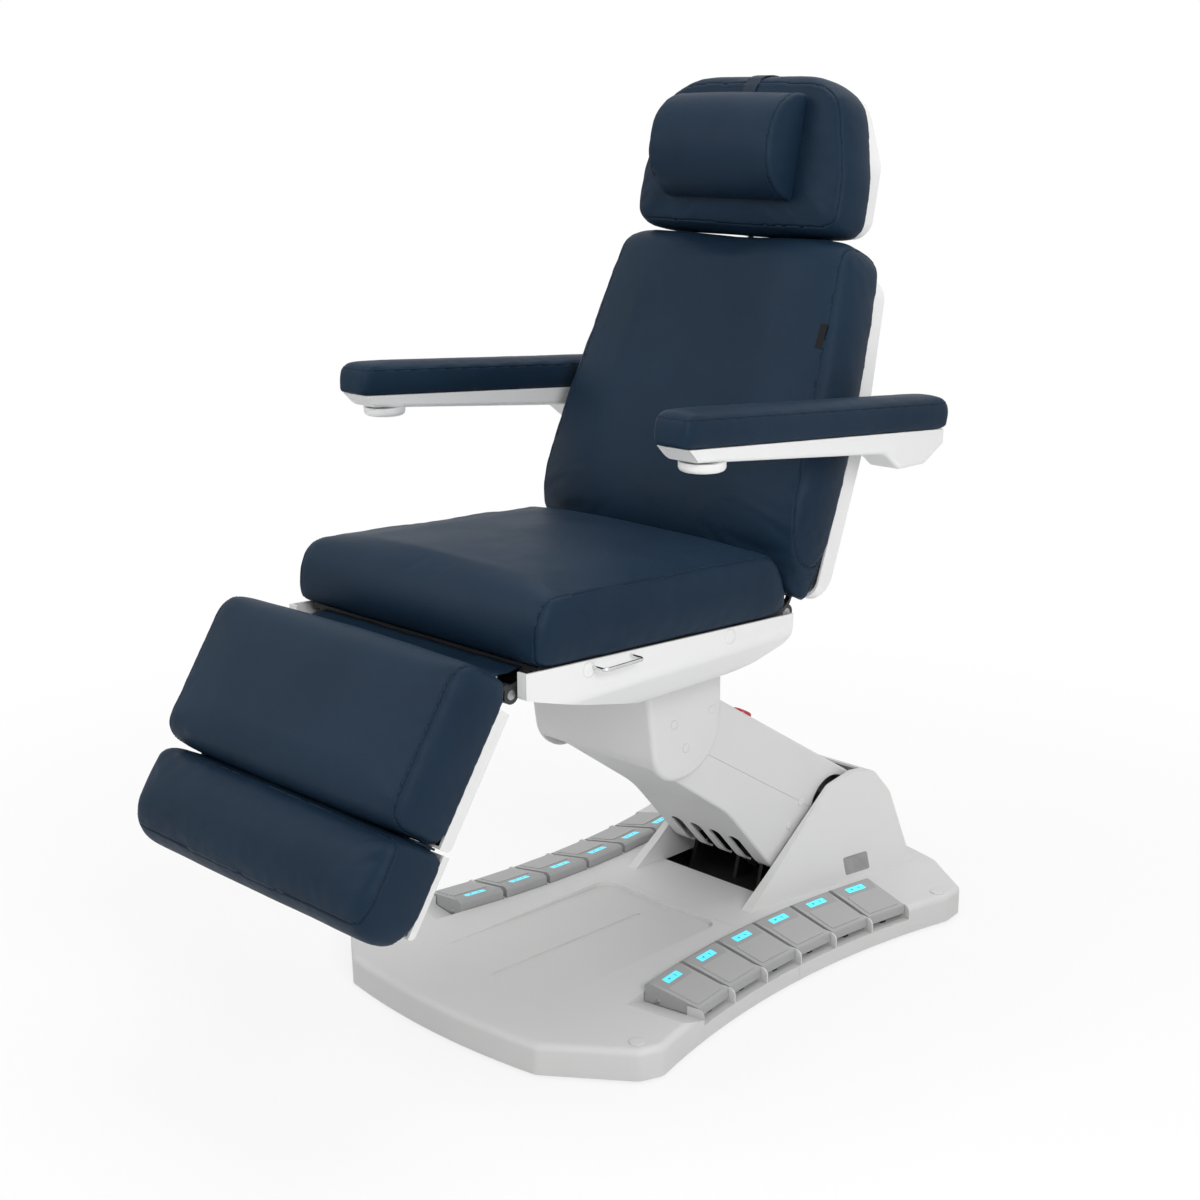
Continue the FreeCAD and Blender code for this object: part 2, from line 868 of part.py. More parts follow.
def pedal_ramp():
    """Hollow that slopes down from the deck to the foot of a row's first pedal."""
    near = -pedal_inner_width / 2
    far = near - pedal_ramp_length
    rise = (deck_z - pedal_bottom_z) / pedal_ramp_length
    corners = [(near, pedal_bottom_z), (near, deck_z + overrun), (far - overrun, deck_z + overrun),
               (far - overrun, deck_z + overrun * rise)]
    return side_prism(corners, [0] * 4, -pedal_pocket_inset, pedal_length + base_corner_round * 2)


def cheek_profile(shrink):
    """Side-view corners and radii of a yoke cheek, drawn in by a wall."""
    corners = [
        (cheek_front_y + shrink * 2, deck_underside_z - shrink),
        (cheek_knee_y, cheek_knee_z - shrink),
        (cheek_slope_y, cheek_slope_z - shrink),
        (cheek_brow_y, cheek_brow_z - shrink),
        (cheek_top_y, cheek_top_z - shrink),
        (cheek_crown_y - shrink, cheek_crown_z - shrink),
        (cheek_back_y - shrink, cheek_back_z),
        (cheek_heel_y - shrink, deck_underside_z - shrink),
    ]
    radii = [0, cheek_sweep, cheek_sweep, cheek_round, cheek_round, cheek_round / 2, cheek_round, 0]
    return corners, radii


def cheek_form(shrink, x_from):
    """One cheek from x_from out to its leaning flank."""
    corners, radii = cheek_profile(shrink)
    solid = side_prism(corners, radii, x_from, cheek_rear_foot_x + overrun)
    low_front = V(cheek_front_foot_x - shrink, cheek_front_y, deck_z)
    low_rear = V(cheek_rear_foot_x - shrink, cheek_rear_foot_y, deck_z)
    high = V(cheek_top_x - shrink, cheek_top_y, cheek_top_z)
    normal = (low_rear - low_front).cross(high - low_front).normalize()
    if normal.x < 0:
        normal = normal * -1
    reach = base_rear_y - base_front_y
    sheet = Part.makePlane(reach, reach, V(0, 0, 0), UP)
    sheet.translate(V(-reach / 2, -reach / 2, 0))
    sheet.Placement = FreeCAD.Placement(low_front, FreeCAD.Rotation(UP, normal)) * sheet.Placement
    return solid.cut(sheet.extrude(normal * reach))


def yoke_rear_wall():
    """Wall that joins the two cheeks behind the arm."""
    outer, outer_radii = cheek_profile(0)
    inner, inner_radii = cheek_profile(cover_wall)
    solid = side_prism(outer, outer_radii, -cheek_inner_x, cheek_inner_x)
    hollow = side_prism(inner, inner_radii, -cheek_inner_x - overrun, cheek_inner_x + overrun)
    band = block((-cheek_inner_x, cheek_crown_y - cheek_round / 2, deck_underside_z),
                 (cheek_inner_x, cheek_heel_y + overrun, cheek_top_z))
    return solid.cut(hollow).common(band)


def base_cover():
    """Both base covers before they are parted: shell, pedal banks, tray, cheeks and well."""
    body = base_body()
    cavity = base_outline().makeOffset2D(-cover_wall).extrude(UP * deck_underside_z)
    tray_roof = block((-tray_half_width - cover_wall, tray_front_y, deck_underside_z - tray_depth),
                      (tray_half_width + cover_wall, tray_rear_y + cover_wall, deck_z))
    cavity = cavity.cut(both_sides(pedal_bank())).cut(tray_roof)
    body = body.cut(cavity)
    cheek = cheek_form(0, cheek_inner_x)
    cheek_hollow = cheek_form(cover_wall, cheek_inner_x + cover_wall)
    body = fused([body, cheek, mirrored(cheek), yoke_rear_wall()])
    body = body.cut(both_sides(cheek_hollow))
    well = block((-cheek_inner_x, well_front_y, 0), (cheek_inner_x, well_rear_y, deck_z + overrun))
    body = body.cut(well)
    tray = plan_prism(four_corners((-tray_half_width, tray_front_y), (tray_half_width, tray_rear_y)),
                      [tray_corner_round] * 4, 0, tray_depth + overrun)
    tray_slope = math.degrees(math.atan2(tray_depth, tray_rear_y - tray_front_y))
    tray.translate(V(0, -tray_front_y, 0))
    tray = turned(tray, tray_front_y, deck_z, -tray_slope)
    body = body.cut(tray)
    groove = block((-tray_groove_width / 2, tray_front_y, deck_z - tray_depth - tray_groove_depth),
                   (tray_groove_width / 2, tray_rear_y - tray_corner_round * 2, deck_z + overrun))
    groove = groove.common(turned(block((-tray_groove_width, 0, -tray_groove_depth),
                                        (tray_groove_width, tray_rear_y - tray_front_y, overrun)),
                                  tray_front_y, deck_z, -tray_slope))
    body = body.cut(groove)
    pocket = pedal_plan(pedal_side_gap, pedal_length + base_corner_round * 2, pedal_pocket_floor_z,
                        deck_z + overrun)
    pin_hole = pedal_pin(running_fit)
    tools = []
    for index in range(pedal_count):
        tool = fused([along_row(pocket, index), along_row(pin_hole, index)])
        tools += [tool, mirrored(tool)]
    ramp = along_row(pedal_ramp(), 0)
    tools += [ramp, mirrored(ramp)]
    bosses = [post(cover_boss_radius, x, y, base_plate_top_z, deck_underside_z)
              for x, y in cover_boss_places()]
    return fused([body] + bosses).cut(tools)


def cover_boss_places():
    """Plan places of the bosses by which the covers sit on the frame."""
    places = []
    for y in (foot_front_y, foot_rear_y):
        for side in (-1, 1):
            places.append((side * (foot_x - outrigger_width), y))
    places.append((0, base_spine_front_y + boss_row_share * (well_front_y - base_spine_front_y)))
    return places


def pedal_pin(growth):
    """Hinge pin of one pedal about its inner end, a little longer than the pedal is wide."""
    length = pedal_inner_width + pedal_side_gap * 2 + pedal_bank_wall / 2
    return Part.makeCylinder(pedal_pin_radius + growth, length,
                             V(pedal_hinge_in, -length / 2, pedal_hinge_z), ALONG)


def pedal_switch():
    """Flat switch on the pocket floor under the outer half of a pedal."""
    start = pedal_hinge_in + switch_from_hinge
    return block((start, -switch_width / 2, pedal_pocket_floor_z),
                 (start + switch_length, switch_width / 2, pedal_pocket_floor_z + switch_height))


def base_front_cover(cover):
    """Part of the cover in front of the parting line."""
    reach = base_side_front_x + overrun
    return cover.common(block((-reach, base_front_y - overrun, 0),
                              (reach, cover_split_y - parting_gap / 2, cheek_top_z + overrun)))


def base_rear_cover(cover):
    """Part of the cover behind the parting line, with the yoke cheeks and the inlet cut-out."""
    reach = base_side_front_x + overrun
    rear = cover.common(block((-reach, cover_split_y + parting_gap / 2, 0),
                              (reach, base_rear_y + overrun, cheek_top_z + overrun)))
    return rear.cut(inlet_block(inlet_fit, base_rear_y + overrun))


def inlet_face_y():
    """Y of the flange face of the power inlet, just inside the bowed rear wall."""
    return base_rear_y - inlet_set_back


def inlet_block(growth, y_end):
    """Outer block of the power inlet."""
    half = inlet_width / 2 + growth
    return block((inlet_x - half, inlet_face_y() - inlet_depth, inlet_z - growth),
                 (inlet_x + half, y_end, inlet_z + inlet_height + growth))


def power_inlet():
    """Mains inlet: a frame with a sunk socket."""
    socket_half = inlet_width / 2 - inlet_socket_inset
    socket = block((inlet_x - socket_half, inlet_face_y() - inlet_socket_depth, inlet_z + inlet_socket_inset),
                   (inlet_x + socket_half, inlet_face_y() + overrun,
                    inlet_z + inlet_height - inlet_socket_inset))
    middle_z = inlet_z + inlet_height / 2
    tongue = block((inlet_x - inlet_flange * 2, inlet_face_y() - inlet_depth, middle_z - inlet_flange / 2),
                   (inlet_x + inlet_flange * 2, inlet_face_y() - inlet_flange, middle_z + inlet_flange / 2))
    return inlet_block(0, inlet_face_y()).cut(socket).fuse(tongue)


def base_frame():
    """Floor plate with outriggers and the two yoke plates that carry the lower shafts."""
    low, high = base_plate_bottom_z, base_plate_top_z
    spine = block((-base_spine_half_width, base_spine_front_y, low),
                  (base_spine_half_width, base_spine_rear_y, high))
    reach = foot_x + outrigger_overhang
    pieces = [spine]
    for y in (foot_front_y, foot_rear_y):
        corners = four_corners((-reach, y - outrigger_width / 2), (reach, y + outrigger_width / 2))
        pieces.append(plan_prism(corners, [outrigger_round] * 4, low, high))
    head = yoke_head_radius
    plate = side_prism(
        [(yoke_plate_front_y, high), (yoke_plate_rear_y, high),
         (lift_pivot_y + head, lift_pivot_z + head), (lift_pivot_y - head, lift_pivot_z + head)],
        [0, 0, head * yoke_round_share, head * yoke_round_share], yoke_plate_inner_x, yoke_plate_outer_x)
    foot_y, foot_z = actuator_foot()
    lug = side_prism(
        [(foot_y - actuator_lug_radius * 2, high), (foot_y + actuator_lug_radius * 2, high),
         (foot_y + actuator_lug_radius, foot_z + actuator_lug_radius),
         (foot_y - actuator_lug_radius, foot_z + actuator_lug_radius)],
        [0, 0, actuator_lug_radius * yoke_round_share, actuator_lug_radius * yoke_round_share],
        actuator_lug_inner_x, actuator_lug_inner_x + actuator_lug_thickness)
    pieces += [plate, mirrored(plate), lug, mirrored(lug)]
    frame = fused(pieces)
    stem = foot_stem_radius
    for y in (foot_front_y, foot_rear_y):
        for side in (-1, 1):
            frame = frame.cut(post(stem, side * foot_x, y, 0, high + overrun))
    span = yoke_plate_outer_x + overrun
    frame = frame.cut(rod_across(main_shaft_radius, -span, span, lift_pivot_y, lift_pivot_z))
    frame = frame.cut(rod_across(link_shaft_radius, -span, span, lift_pivot_y, lift_pivot_z - link_drop))
    return frame.cut(rod_across(actuator_pin_radius, -span, span, foot_y, foot_z))


def leveling_feet():
    """Four screw feet: pad on the floor and stem up through the outrigger."""
    feet = []
    for y in (foot_front_y, foot_rear_y):
        for side in (-1, 1):
            pad = post(foot_pad_radius, side * foot_x, y, 0, base_plate_bottom_z)
            pad = pad.makeChamfer(edge_round / 2, [pad.Edges[0]])
            stem = post(foot_stem_radius, side * foot_x, y, base_plate_bottom_z,
                        base_plate_top_z + edge_round)
            feet.append(fused([pad, stem]))
    return Part.makeCompound(feet)


def base_pivot_shafts():
    """Main shaft, link shaft and actuator pin of the base."""
    span = yoke_plate_outer_x
    foot_y, foot_z = actuator_foot()
    pin_span = actuator_lug_inner_x + actuator_lug_thickness
    return Part.makeCompound([
        rod_across(main_shaft_radius, -span, span, lift_pivot_y, lift_pivot_z),
        rod_across(link_shaft_radius, -span, span, lift_pivot_y, lift_pivot_z - link_drop),
        rod_across(actuator_pin_radius, -pin_span, pin_span, foot_y, foot_z),
    ])


def control_box():
    """Control electronics on the floor plate under the tray."""
    corners = four_corners((-control_half_width, control_front_y), (control_half_width, control_rear_y))
    return plan_prism(corners, [edge_round] * 4, base_plate_top_z, base_plate_top_z + control_height)


# Lift arm, drawn flat: lower pivot at the origin, upper pivot at y = -arm_length

def on_arm(shape):
    """Raise a piece of the arm to its rest angle."""
    return turned(shape, lift_pivot_y, lift_pivot_z, -arm_angle)


def arm_wire():
    """Side outline of the arm cover."""
    far = -arm_length - arm_end_reach
    corners = [
        (far, arm_top),
        (arm_heel_reach, arm_top),
        (arm_heel_reach, -arm_heel_depth),
        (-arm_keel_reach, -arm_keel_depth),
        (-arm_belly_bend, -arm_belly_depth),
        (far, -arm_chin_depth),
    ]
    radii = [arm_end_round, arm_heel_round, arm_heel_round / 2, arm_keel_round, arm_bend_round, arm_end_round]
    return rounded_wire(corners, radii, lambda spot: V(0, spot.x, spot.y))


def arm_shell():
    """Hollow arm cover before its seam is cut, with windows for the pivots and an open lower end."""
    face = Part.Face(arm_wire())
    outer = face.extrude(ACROSS * (arm_half_width * 2))
    outer.translate(ACROSS * -arm_half_width)
    rim = [edge for edge in outer.Edges if abs(edge.Vertexes[0].X) > arm_half_width - slip
           and abs(edge.Vertexes[-1].X - edge.Vertexes[0].X) < slip]
    outer = outer.makeFillet(edge_round, rim)
    inner = face.makeOffset2D(-cover_wall).extrude(ACROSS * ((arm_half_width - cover_wall) * 2))
    inner.translate(ACROSS * (cover_wall - arm_half_width))
    shell = outer.cut(inner)
    span = arm_half_width + overrun
    for y in (0, -arm_length):
        shell = shell.cut(rod_across(arm_pivot_window, -span, span, y, 0))
    inside = arm_half_width - cover_wall
    open_end = block((-inside, -arm_open_end, -arm_keel_depth - overrun),
                     (inside, arm_heel_reach + overrun, -arm_seam_drop))
    return shell.cut(open_end)


def lift_arm_cover(shell):
    """Upper half of the arm cover with the collar of the stop button."""
    span = arm_half_width + overrun
    far = -arm_length - arm_end_reach - overrun
    upper = shell.common(block((-span, far, parting_gap / 2 - arm_seam_drop),
                               (span, arm_heel_reach + overrun, arm_top + overrun)))
    collar = post(stop_collar_radius, 0, -stop_reach, arm_top - cover_wall, arm_top + stop_collar_height)
    collar = collar.makeFillet(edge_round / 2, [collar.Edges[0]])
    hole = post(stop_stem_radius + slip, 0, -stop_reach, arm_top - cover_wall - overrun,
                arm_top + stop_height)
    return fused([upper, collar]).cut(hole)


def lift_arm_belly(shell):
    """Lower half of the arm cover with its row of slots."""
    span = arm_half_width + overrun
    far = -arm_length - arm_end_reach - overrun
    lower = shell.common(block((-span, far, -arm_keel_depth - overrun),
                               (span, arm_heel_reach + overrun, -parting_gap / 2 - arm_seam_drop)))
    for number in range(arm_slot_count):
        x = (number - (arm_slot_count - 1) / 2) * arm_slot_pitch
        half = arm_slot_width / 2
        corners = four_corners((x - half, -arm_slot_reach - arm_slot_length / 2),
                               (x + half, -arm_slot_reach + arm_slot_length / 2))
        slot = plan_prism(corners, [half * slot_round_share] * 4, -arm_keel_depth,
                          -arm_belly_depth + cover_wall)
        lower = lower.cut(slot)
    return lower


def lift_arm_frame():
    """Two side plates with pivot hubs, cross tubes, actuator pin and ribs that carry the cover."""
    plate = block((arm_plate_inner_x, -arm_length, -arm_plate_bottom),
                  (arm_plate_inner_x + arm_plate_thickness, 0, arm_plate_top))
    hubs = [rod_across(arm_hub_radius, arm_plate_inner_x, arm_plate_inner_x + arm_plate_thickness, y, 0)
            for y in (0, -arm_length)]
    span = arm_plate_inner_x
    side = fused([plate] + hubs)
    pieces = [side, mirrored(side)]
    for share in arm_tube_shares:
        pieces.append(rod_across(arm_tube_radius, -span, span, -arm_length * share, arm_tube_height))
    pin_y = -actuator_arm
    pieces.append(rod_across(actuator_pin_radius, -span, span, pin_y, 0))
    rib = block((arm_plate_inner_x, -arm_rib_reach - arm_rib_thickness, -arm_plate_bottom),
                (arm_half_width - cover_wall, -arm_rib_reach, arm_plate_top))
    pieces += [rib, mirrored(rib)]
    frame = fused(pieces)
    reach = arm_plate_inner_x + arm_plate_thickness + overrun
    for y in (0, -arm_length):
        frame = frame.cut(rod_across(main_shaft_radius + running_fit, -reach, reach, y, 0))
    return frame


def parallel_link():
    """Pair of bars below the arm frame that keep the knuckle level, joined by a cross web."""
    bar = block((link_bar_inner_x, -arm_length, -link_bar_half_depth),
                (link_bar_inner_x + link_bar_thickness, 0, link_bar_half_depth))
    eyes = [rod_across(link_eye_radius, link_bar_inner_x, link_bar_inner_x + link_bar_thickness, y, 0)
            for y in (0, -arm_length)]
    side = fused([bar] + eyes)
    web = block((-link_bar_inner_x, -arm_length * link_web_share - link_bar_thickness, -link_bar_half_depth),
                (link_bar_inner_x, -arm_length * link_web_share, link_bar_half_depth))
    link = fused([side, mirrored(side), web])
    reach = link_bar_inner_x + link_bar_thickness + overrun
    for y in (0, -arm_length):
        link = link.cut(rod_across(link_shaft_radius + running_fit, -reach, reach, y, 0))
    return turned(link, lift_pivot_y, lift_pivot_z - link_drop, -arm_angle)


def actuator_head():
    """Side-view place of the actuator's pin on the arm."""
    return turned_point(-actuator_arm, 0, lift_pivot_y, lift_pivot_z, -arm_angle)


def actuator_foot():
    """Side-view place of the actuator's pin on the base."""
    return turned_point(-actuator_arm, 0, lift_pivot_y, lift_pivot_z, actuator_spread_angle - arm_angle)


def on_actuator(shape):
    """Lay a piece drawn upright from the foot pin along the actuator's axis."""
    foot_y, foot_z = actuator_foot()
    head_y, head_z = actuator_head()
    lean = math.degrees(math.atan2(foot_y - head_y, head_z - foot_z))
    return turned(shape, foot_y, foot_z, lean)


def lift_actuator():
    """Actuator housing with its foot eye and a bore for the rod."""
    length = actuator_span * actuator_length_share
    tube = post(actuator_radius, 0, 0, actuator_eye_radius, length)
    tube = tube.makeFillet(edge_round / 2, [tube.Edges[0]])
    eye = rod_across(actuator_lug_radius, -actuator_eye_width / 2, actuator_eye_width / 2, 0, 0)
    neck = block((-actuator_eye_width / 2, -actuator_lug_radius, 0),
                 (actuator_eye_width / 2, actuator_lug_radius, actuator_eye_radius))
    body = fused([tube, eye, neck])
    body = body.cut(rod_across(actuator_pin_radius + running_fit, -actuator_eye_width, actuator_eye_width,
                               0, 0))
    floor = actuator_eye_radius + actuator_rod_radius
    body = body.cut(post(actuator_rod_radius + slip, 0, 0, floor, length + overrun))
    return on_actuator(body)


def lift_rod():
    """Actuator rod; its head eye is loose because the arm's true path is not quite even."""
    start = actuator_span * (1 - actuator_rod_inside_share)
    hole = actuator_pin_radius + actuator_eye_clearance
    eye_radius = hole + edge_round
    half = actuator_eye_width / 2
    rod = post(actuator_rod_radius, 0, 0, start, actuator_span)
    eye = rod_across(eye_radius, -half, half, 0, actuator_span)
    body = fused([rod, eye])
    return on_actuator(body.cut(rod_across(hole, -half - overrun, half + overrun, 0, actuator_span)))


def stop_button():
    """Mushroom button with its stem."""
    top = arm_top + stop_height
    stem = post(stop_stem_radius, 0, -stop_reach, arm_top - cover_wall - stop_travel / 2,
                top - stop_cap_height)
    cap = post(stop_cap_radius, 0, -stop_reach, top - stop_cap_height, top)
    cap = cap.makeFillet(stop_cap_height / 2, [cap.Edges[0]])
    return on_arm(fused([stem, cap]))


# Knuckle

def knuckle_corners():
    """Side-view corners of the knuckle cover."""
    return [
        (knuckle_front_top_y, knuckle_top_z),
        (knuckle_front_low_y, knuckle_low_z),
        (knuckle_rear_y, knuckle_low_z),
        (knuckle_rear_y, knuckle_top_z),
    ]


def knuckle_cover():
    """Housing under the seat: front chin and two D-shaped cheeks outside the arm."""
    body = side_prism(knuckle_corners(), [0, knuckle_front_round, knuckle_rear_round, 0],
                      -knuckle_half_width, knuckle_half_width)
    rim = [edge for edge in body.Edges if abs(edge.Vertexes[0].X) > knuckle_half_width - slip
           and abs(edge.Vertexes[-1].X - edge.Vertexes[0].X) < slip
           and min(v.Z for v in edge.Vertexes) < knuckle_top_z - slip]
    body = body.makeFillet(knuckle_edge_round, rim)
    (top_y, top_z), (low_y, low_z) = knuckle_corners()[:2]
    lean = (low_y - top_y) / (top_z - low_z)
    chin_y = top_y + lean * (top_z - knuckle_chin_z)
    shoulder = yoke_plate_outer_x + parting_gap
    hollow = side_prism(
        [(top_y + knuckle_front_wall - lean * overrun, top_z + overrun),
         (chin_y + knuckle_front_wall, knuckle_chin_z),
         (chin_y - overrun, low_z - overrun), (knuckle_rear_y + overrun, low_z - overrun),
         (knuckle_rear_y + overrun, top_z + overrun)],
        [0] * 5, -shoulder, shoulder)
    return body.cut(hollow).cut(pan_form(-parting_gap))


def knuckle_bracket():
    """Two plates that hang from the seat frame and carry the upper shafts."""
    plate = side_prism(
        [(bracket_front_y, seat_cross_bottom()), (bracket_front_y, bracket_low_z),
         (bracket_rear_y, bracket_low_z), (bracket_rear_y, seat_cross_bottom())],
        [0, bracket_round, bracket_round, 0], yoke_plate_inner_x, yoke_plate_outer_x)
    span = yoke_plate_outer_x + overrun
    plate = plate.cut(rod_across(main_shaft_radius, 0, span, knuckle_pivot_y, knuckle_pivot_z))
    plate = plate.cut(rod_across(link_shaft_radius, 0, span, knuckle_pivot_y, knuckle_pivot_z - link_drop))
    return both_sides(plate)


def knuckle_shafts():
    """Main and link shafts of the knuckle."""
    span = yoke_plate_outer_x
    return Part.makeCompound([
        rod_across(main_shaft_radius, -span, span, knuckle_pivot_y, knuckle_pivot_z),
        rod_across(link_shaft_radius, -span, span, knuckle_pivot_y, knuckle_pivot_z - link_drop),
    ])


# Seat

def on_seat(shape):
    """Tilt a piece drawn flat forward of the seat's rear lower edge into place."""
    return turned(shape, seat_rear_y, seat_rear_z, -seat_tilt_angle)


def seat_level(y):
    """Height of the cushion's underside at a place along the seat."""
    return seat_rear_z + (seat_rear_y - y) * math.tan(math.radians(seat_tilt_angle))


def seat_cross_bottom():
    """Height of the flat underside of the seat frame's cross member."""
    return seat_level(bracket_rear_y) - seat_board_thickness - seat_cross_depth


def seat_cushion():
    """Seat upholstery."""
    solid = cushion(seat_length, seat_half_width, seat_side, seat_crown, seat_rise, seat_roll, seat_draw,
                    (seat_front_roll, seat_corner, seat_front_shares),
                    (seat_rear_roll, seat_corner, seat_rear_shares), level_taper_shares)
    solid.translate(ALONG * -seat_length)
    return on_seat(solid)


def seat_frame():
    """Seat board with two rails, the cross member over the knuckle and hinge eyes at both ends."""
    inset = seat_board_inset
    board = block((-seat_half_width + inset, inset - seat_length, -seat_board_thickness),
                  (seat_half_width - inset, -inset, -bed_gap))
    rail = block((seat_rail_x, inset - seat_length, -seat_board_thickness - seat_rail_depth),
                 (seat_rail_x + seat_rail_width, -inset, -seat_board_thickness))
    frame = [on_seat(board), on_seat(rail), on_seat(mirrored(rail))]
    cross_top = seat_level(bracket_front_y) - seat_board_thickness / 2
    cross = block((-seat_cross_half_width, bracket_front_y, seat_cross_bottom()),
                  (seat_cross_half_width, bracket_rear_y, cross_top))
    frame.append(cross.cut(on_seat(block((-seat_half_width, -seat_length, -bed_gap),
                                         (seat_half_width, seat_length, overrun * 2)))))
    for y, z, inward in ((leg_hinge_y, leg_hinge_z, 1), (back_hinge_y, back_hinge_z, -1)):
        root = y + inward * seat_arm_reach
        level = seat_level(root) - seat_board_thickness
        eye = rod_across(hinge_eye_radius, hinge_seat_eye_x, hinge_seat_eye_x + hinge_eye_thickness, y, z)
        arm = side_prism(
            [(y, z - hinge_eye_radius * seat_arm_share), (root, level - seat_rail_depth),
             (root, level), (y, z + hinge_eye_radius * eye_arm_share)],
            [0] * 4, hinge_seat_eye_x, hinge_seat_eye_x + hinge_eye_thickness)
        tie_y = root - inward * hinge_eye_radius
        tie = block((seat_rail_x, tie_y - hinge_eye_thickness, level - seat_rail_depth),
                    (hinge_seat_eye_x, tie_y + hinge_eye_thickness, level))
        frame += [eye, arm, tie, mirrored(eye), mirrored(arm), mirrored(tie)]
    frame = fused(frame)
    span = hinge_seat_eye_x + hinge_eye_thickness + overrun
    for y, z in ((leg_hinge_y, leg_hinge_z), (back_hinge_y, back_hinge_z)):
        frame = frame.cut(rod_across(hinge_pin_radius, -span, span, y, z))
    return frame


def seat_hinge_pins():
    """Hinge pins of the leg rest and the back."""
    pins = []
    outer = hinge_seat_eye_x + hinge_eye_thickness
    for y, z in ((leg_hinge_y, leg_hinge_z), (back_hinge_y, back_hinge_z)):
        pin = rod_across(hinge_pin_radius, hinge_leg_eye_x - hinge_eye_thickness / 2, outer, y, z)
        pins += [pin, mirrored(pin)]
    return Part.makeCompound(pins)


def pan_form(shrink):
    """Boat form of the seat pan, drawn in by a wall: its side view crossed with its front view."""
    top_front = seat_level(pan_front_y) - pan_top_drop
    top_rear = seat_level(pan_rear_y) - pan_top_drop
    lift = overrun if shrink > 0 else 0
    side = side_prism(
        [(pan_front_y + shrink, top_front + lift), (pan_front_y + shrink, pan_front_z + shrink),
         (pan_rise_y, pan_rise_z + shrink), (pan_keel_front_y, pan_keel_z + shrink),
         (pan_keel_rear_y, pan_keel_z + shrink), (pan_step_y, pan_step_z + shrink),
         (pan_rear_y - shrink, pan_rear_low_z + shrink), (pan_rear_y - shrink, top_rear + lift)],
        [0, edge_round, pan_rise_round, pan_keel_round, pan_keel_round, pan_step_round, pan_rear_round, 0],
        -pan_half_width - overrun, pan_half_width + overrun)
    wide = pan_half_width - shrink
    bilge = pan_bilge_x - shrink
    top = top_front + overrun * 2
    low = pan_keel_z + shrink - slip
    front = front_prism(
        [(-wide, top), (-wide, pan_side_z), (-bilge, low), (bilge, low), (wide, pan_side_z), (wide, top)],
        [0, pan_side_round, pan_bilge_round, pan_bilge_round, pan_side_round, 0],
        pan_front_y - overrun, pan_rear_y + overrun)
    return side.common(front)


def seat_pan():
    """White boat shell under the seat, with slots for the bracket plates and room for the hinge eyes."""
    shell = pan_form(0).cut(pan_form(shell_wall))
    slot = block((yoke_plate_inner_x - slip, bracket_front_y - slip, pan_keel_z - overrun),
                 (yoke_plate_outer_x + slip, bracket_rear_y + slip, seat_cross_bottom()))
    shell = shell.cut(both_sides(slot))
    reach = hinge_eye_radius + overrun
    for y, z in ((leg_hinge_y, leg_hinge_z), (back_hinge_y, back_hinge_z)):
        notch = block((seat_rail_x - overrun, y - reach, z - reach),
                      (hinge_seat_eye_x + hinge_eye_thickness + overrun / 2, y + reach, z + reach * 3))
        shell = shell.cut(both_sides(notch))
    lip = block((-flap_half_width - slip, pan_front_y - overrun, leg_hinge_z + flap_radius * flap_lip_share),
                (flap_half_width + slip, pan_front_y + overrun, leg_hinge_z + flap_radius * 2))
    shell = shell.cut(lip)
    for y in (hook_front_y, hook_rear_y):
        shell = shell.cut(rod_across(hook_wire_radius + hook_fit, hook_root_x - overrun, hook_reach_x, y,
                                     hook_z))
    return shell


def hand_control_hook():
    """Bent chrome wire loop on the left side of the pan."""
    corners = [
        V(hook_root_x, hook_front_y, hook_z), V(hook_reach_x, hook_front_y, hook_z),
        V(hook_reach_x, hook_rear_y, hook_z), V(hook_root_x, hook_rear_y, hook_z),
    ]
    bend = hook_bend
    knee = bend * (1 - math.sqrt(2) / 2)
    first, second, third, last = corners
    edges = [
        Part.makeLine(first, second - ACROSS * bend),
        Part.Arc(second - ACROSS * bend, second + (ALONG - ACROSS) * knee, second + ALONG * bend).toShape(),
        Part.makeLine(second + ALONG * bend, third - ALONG * bend),
        Part.Arc(third - ALONG * bend, third - (ALONG + ACROSS) * knee, third - ACROSS * bend).toShape(),
        Part.makeLine(third - ACROSS * bend, last),
    ]
    path = Part.Wire(edges)
    ring = Part.Wire(Part.Circle(first, ACROSS, hook_wire_radius).toShape())
    return path.makePipeShell([ring], True, False)


def leg_flap():
    """Fabric flap that arches over the leg hinge from the front of the seat board."""
    start, end = math.radians(flap_start_angle), math.radians(flap_end_angle)
    outer, inner = flap_radius, flap_radius - flap_thickness
    middle = (start + end) / 2

    def spot(radius, turn):
        return V(-flap_half_width, leg_hinge_y + radius * math.cos(turn),
                 leg_hinge_z + radius * math.sin(turn))

    board_y = seat_front_y + seat_board_inset
    board_z = seat_level(board_y) - seat_board_thickness / 2
    hem = V(-flap_half_width, board_y, board_z)
    hem_low = V(-flap_half_width, board_y, board_z - flap_thickness)
    edges = [
        Part.makeLine(hem, spot(outer, start)),
        Part.Arc(spot(outer, start), spot(outer, middle), spot(outer, end)).toShape(),
        Part.makeLine(spot(outer, end), spot(inner, end)),
        Part.Arc(spot(inner, end), spot(inner, middle), spot(inner, start)).toShape(),
        Part.makeLine(spot(inner, start), hem_low),
        Part.makeLine(hem_low, hem),
    ]
    return Part.Face(Part.Wire(edges)).extrude(ACROSS * (flap_half_width * 2))


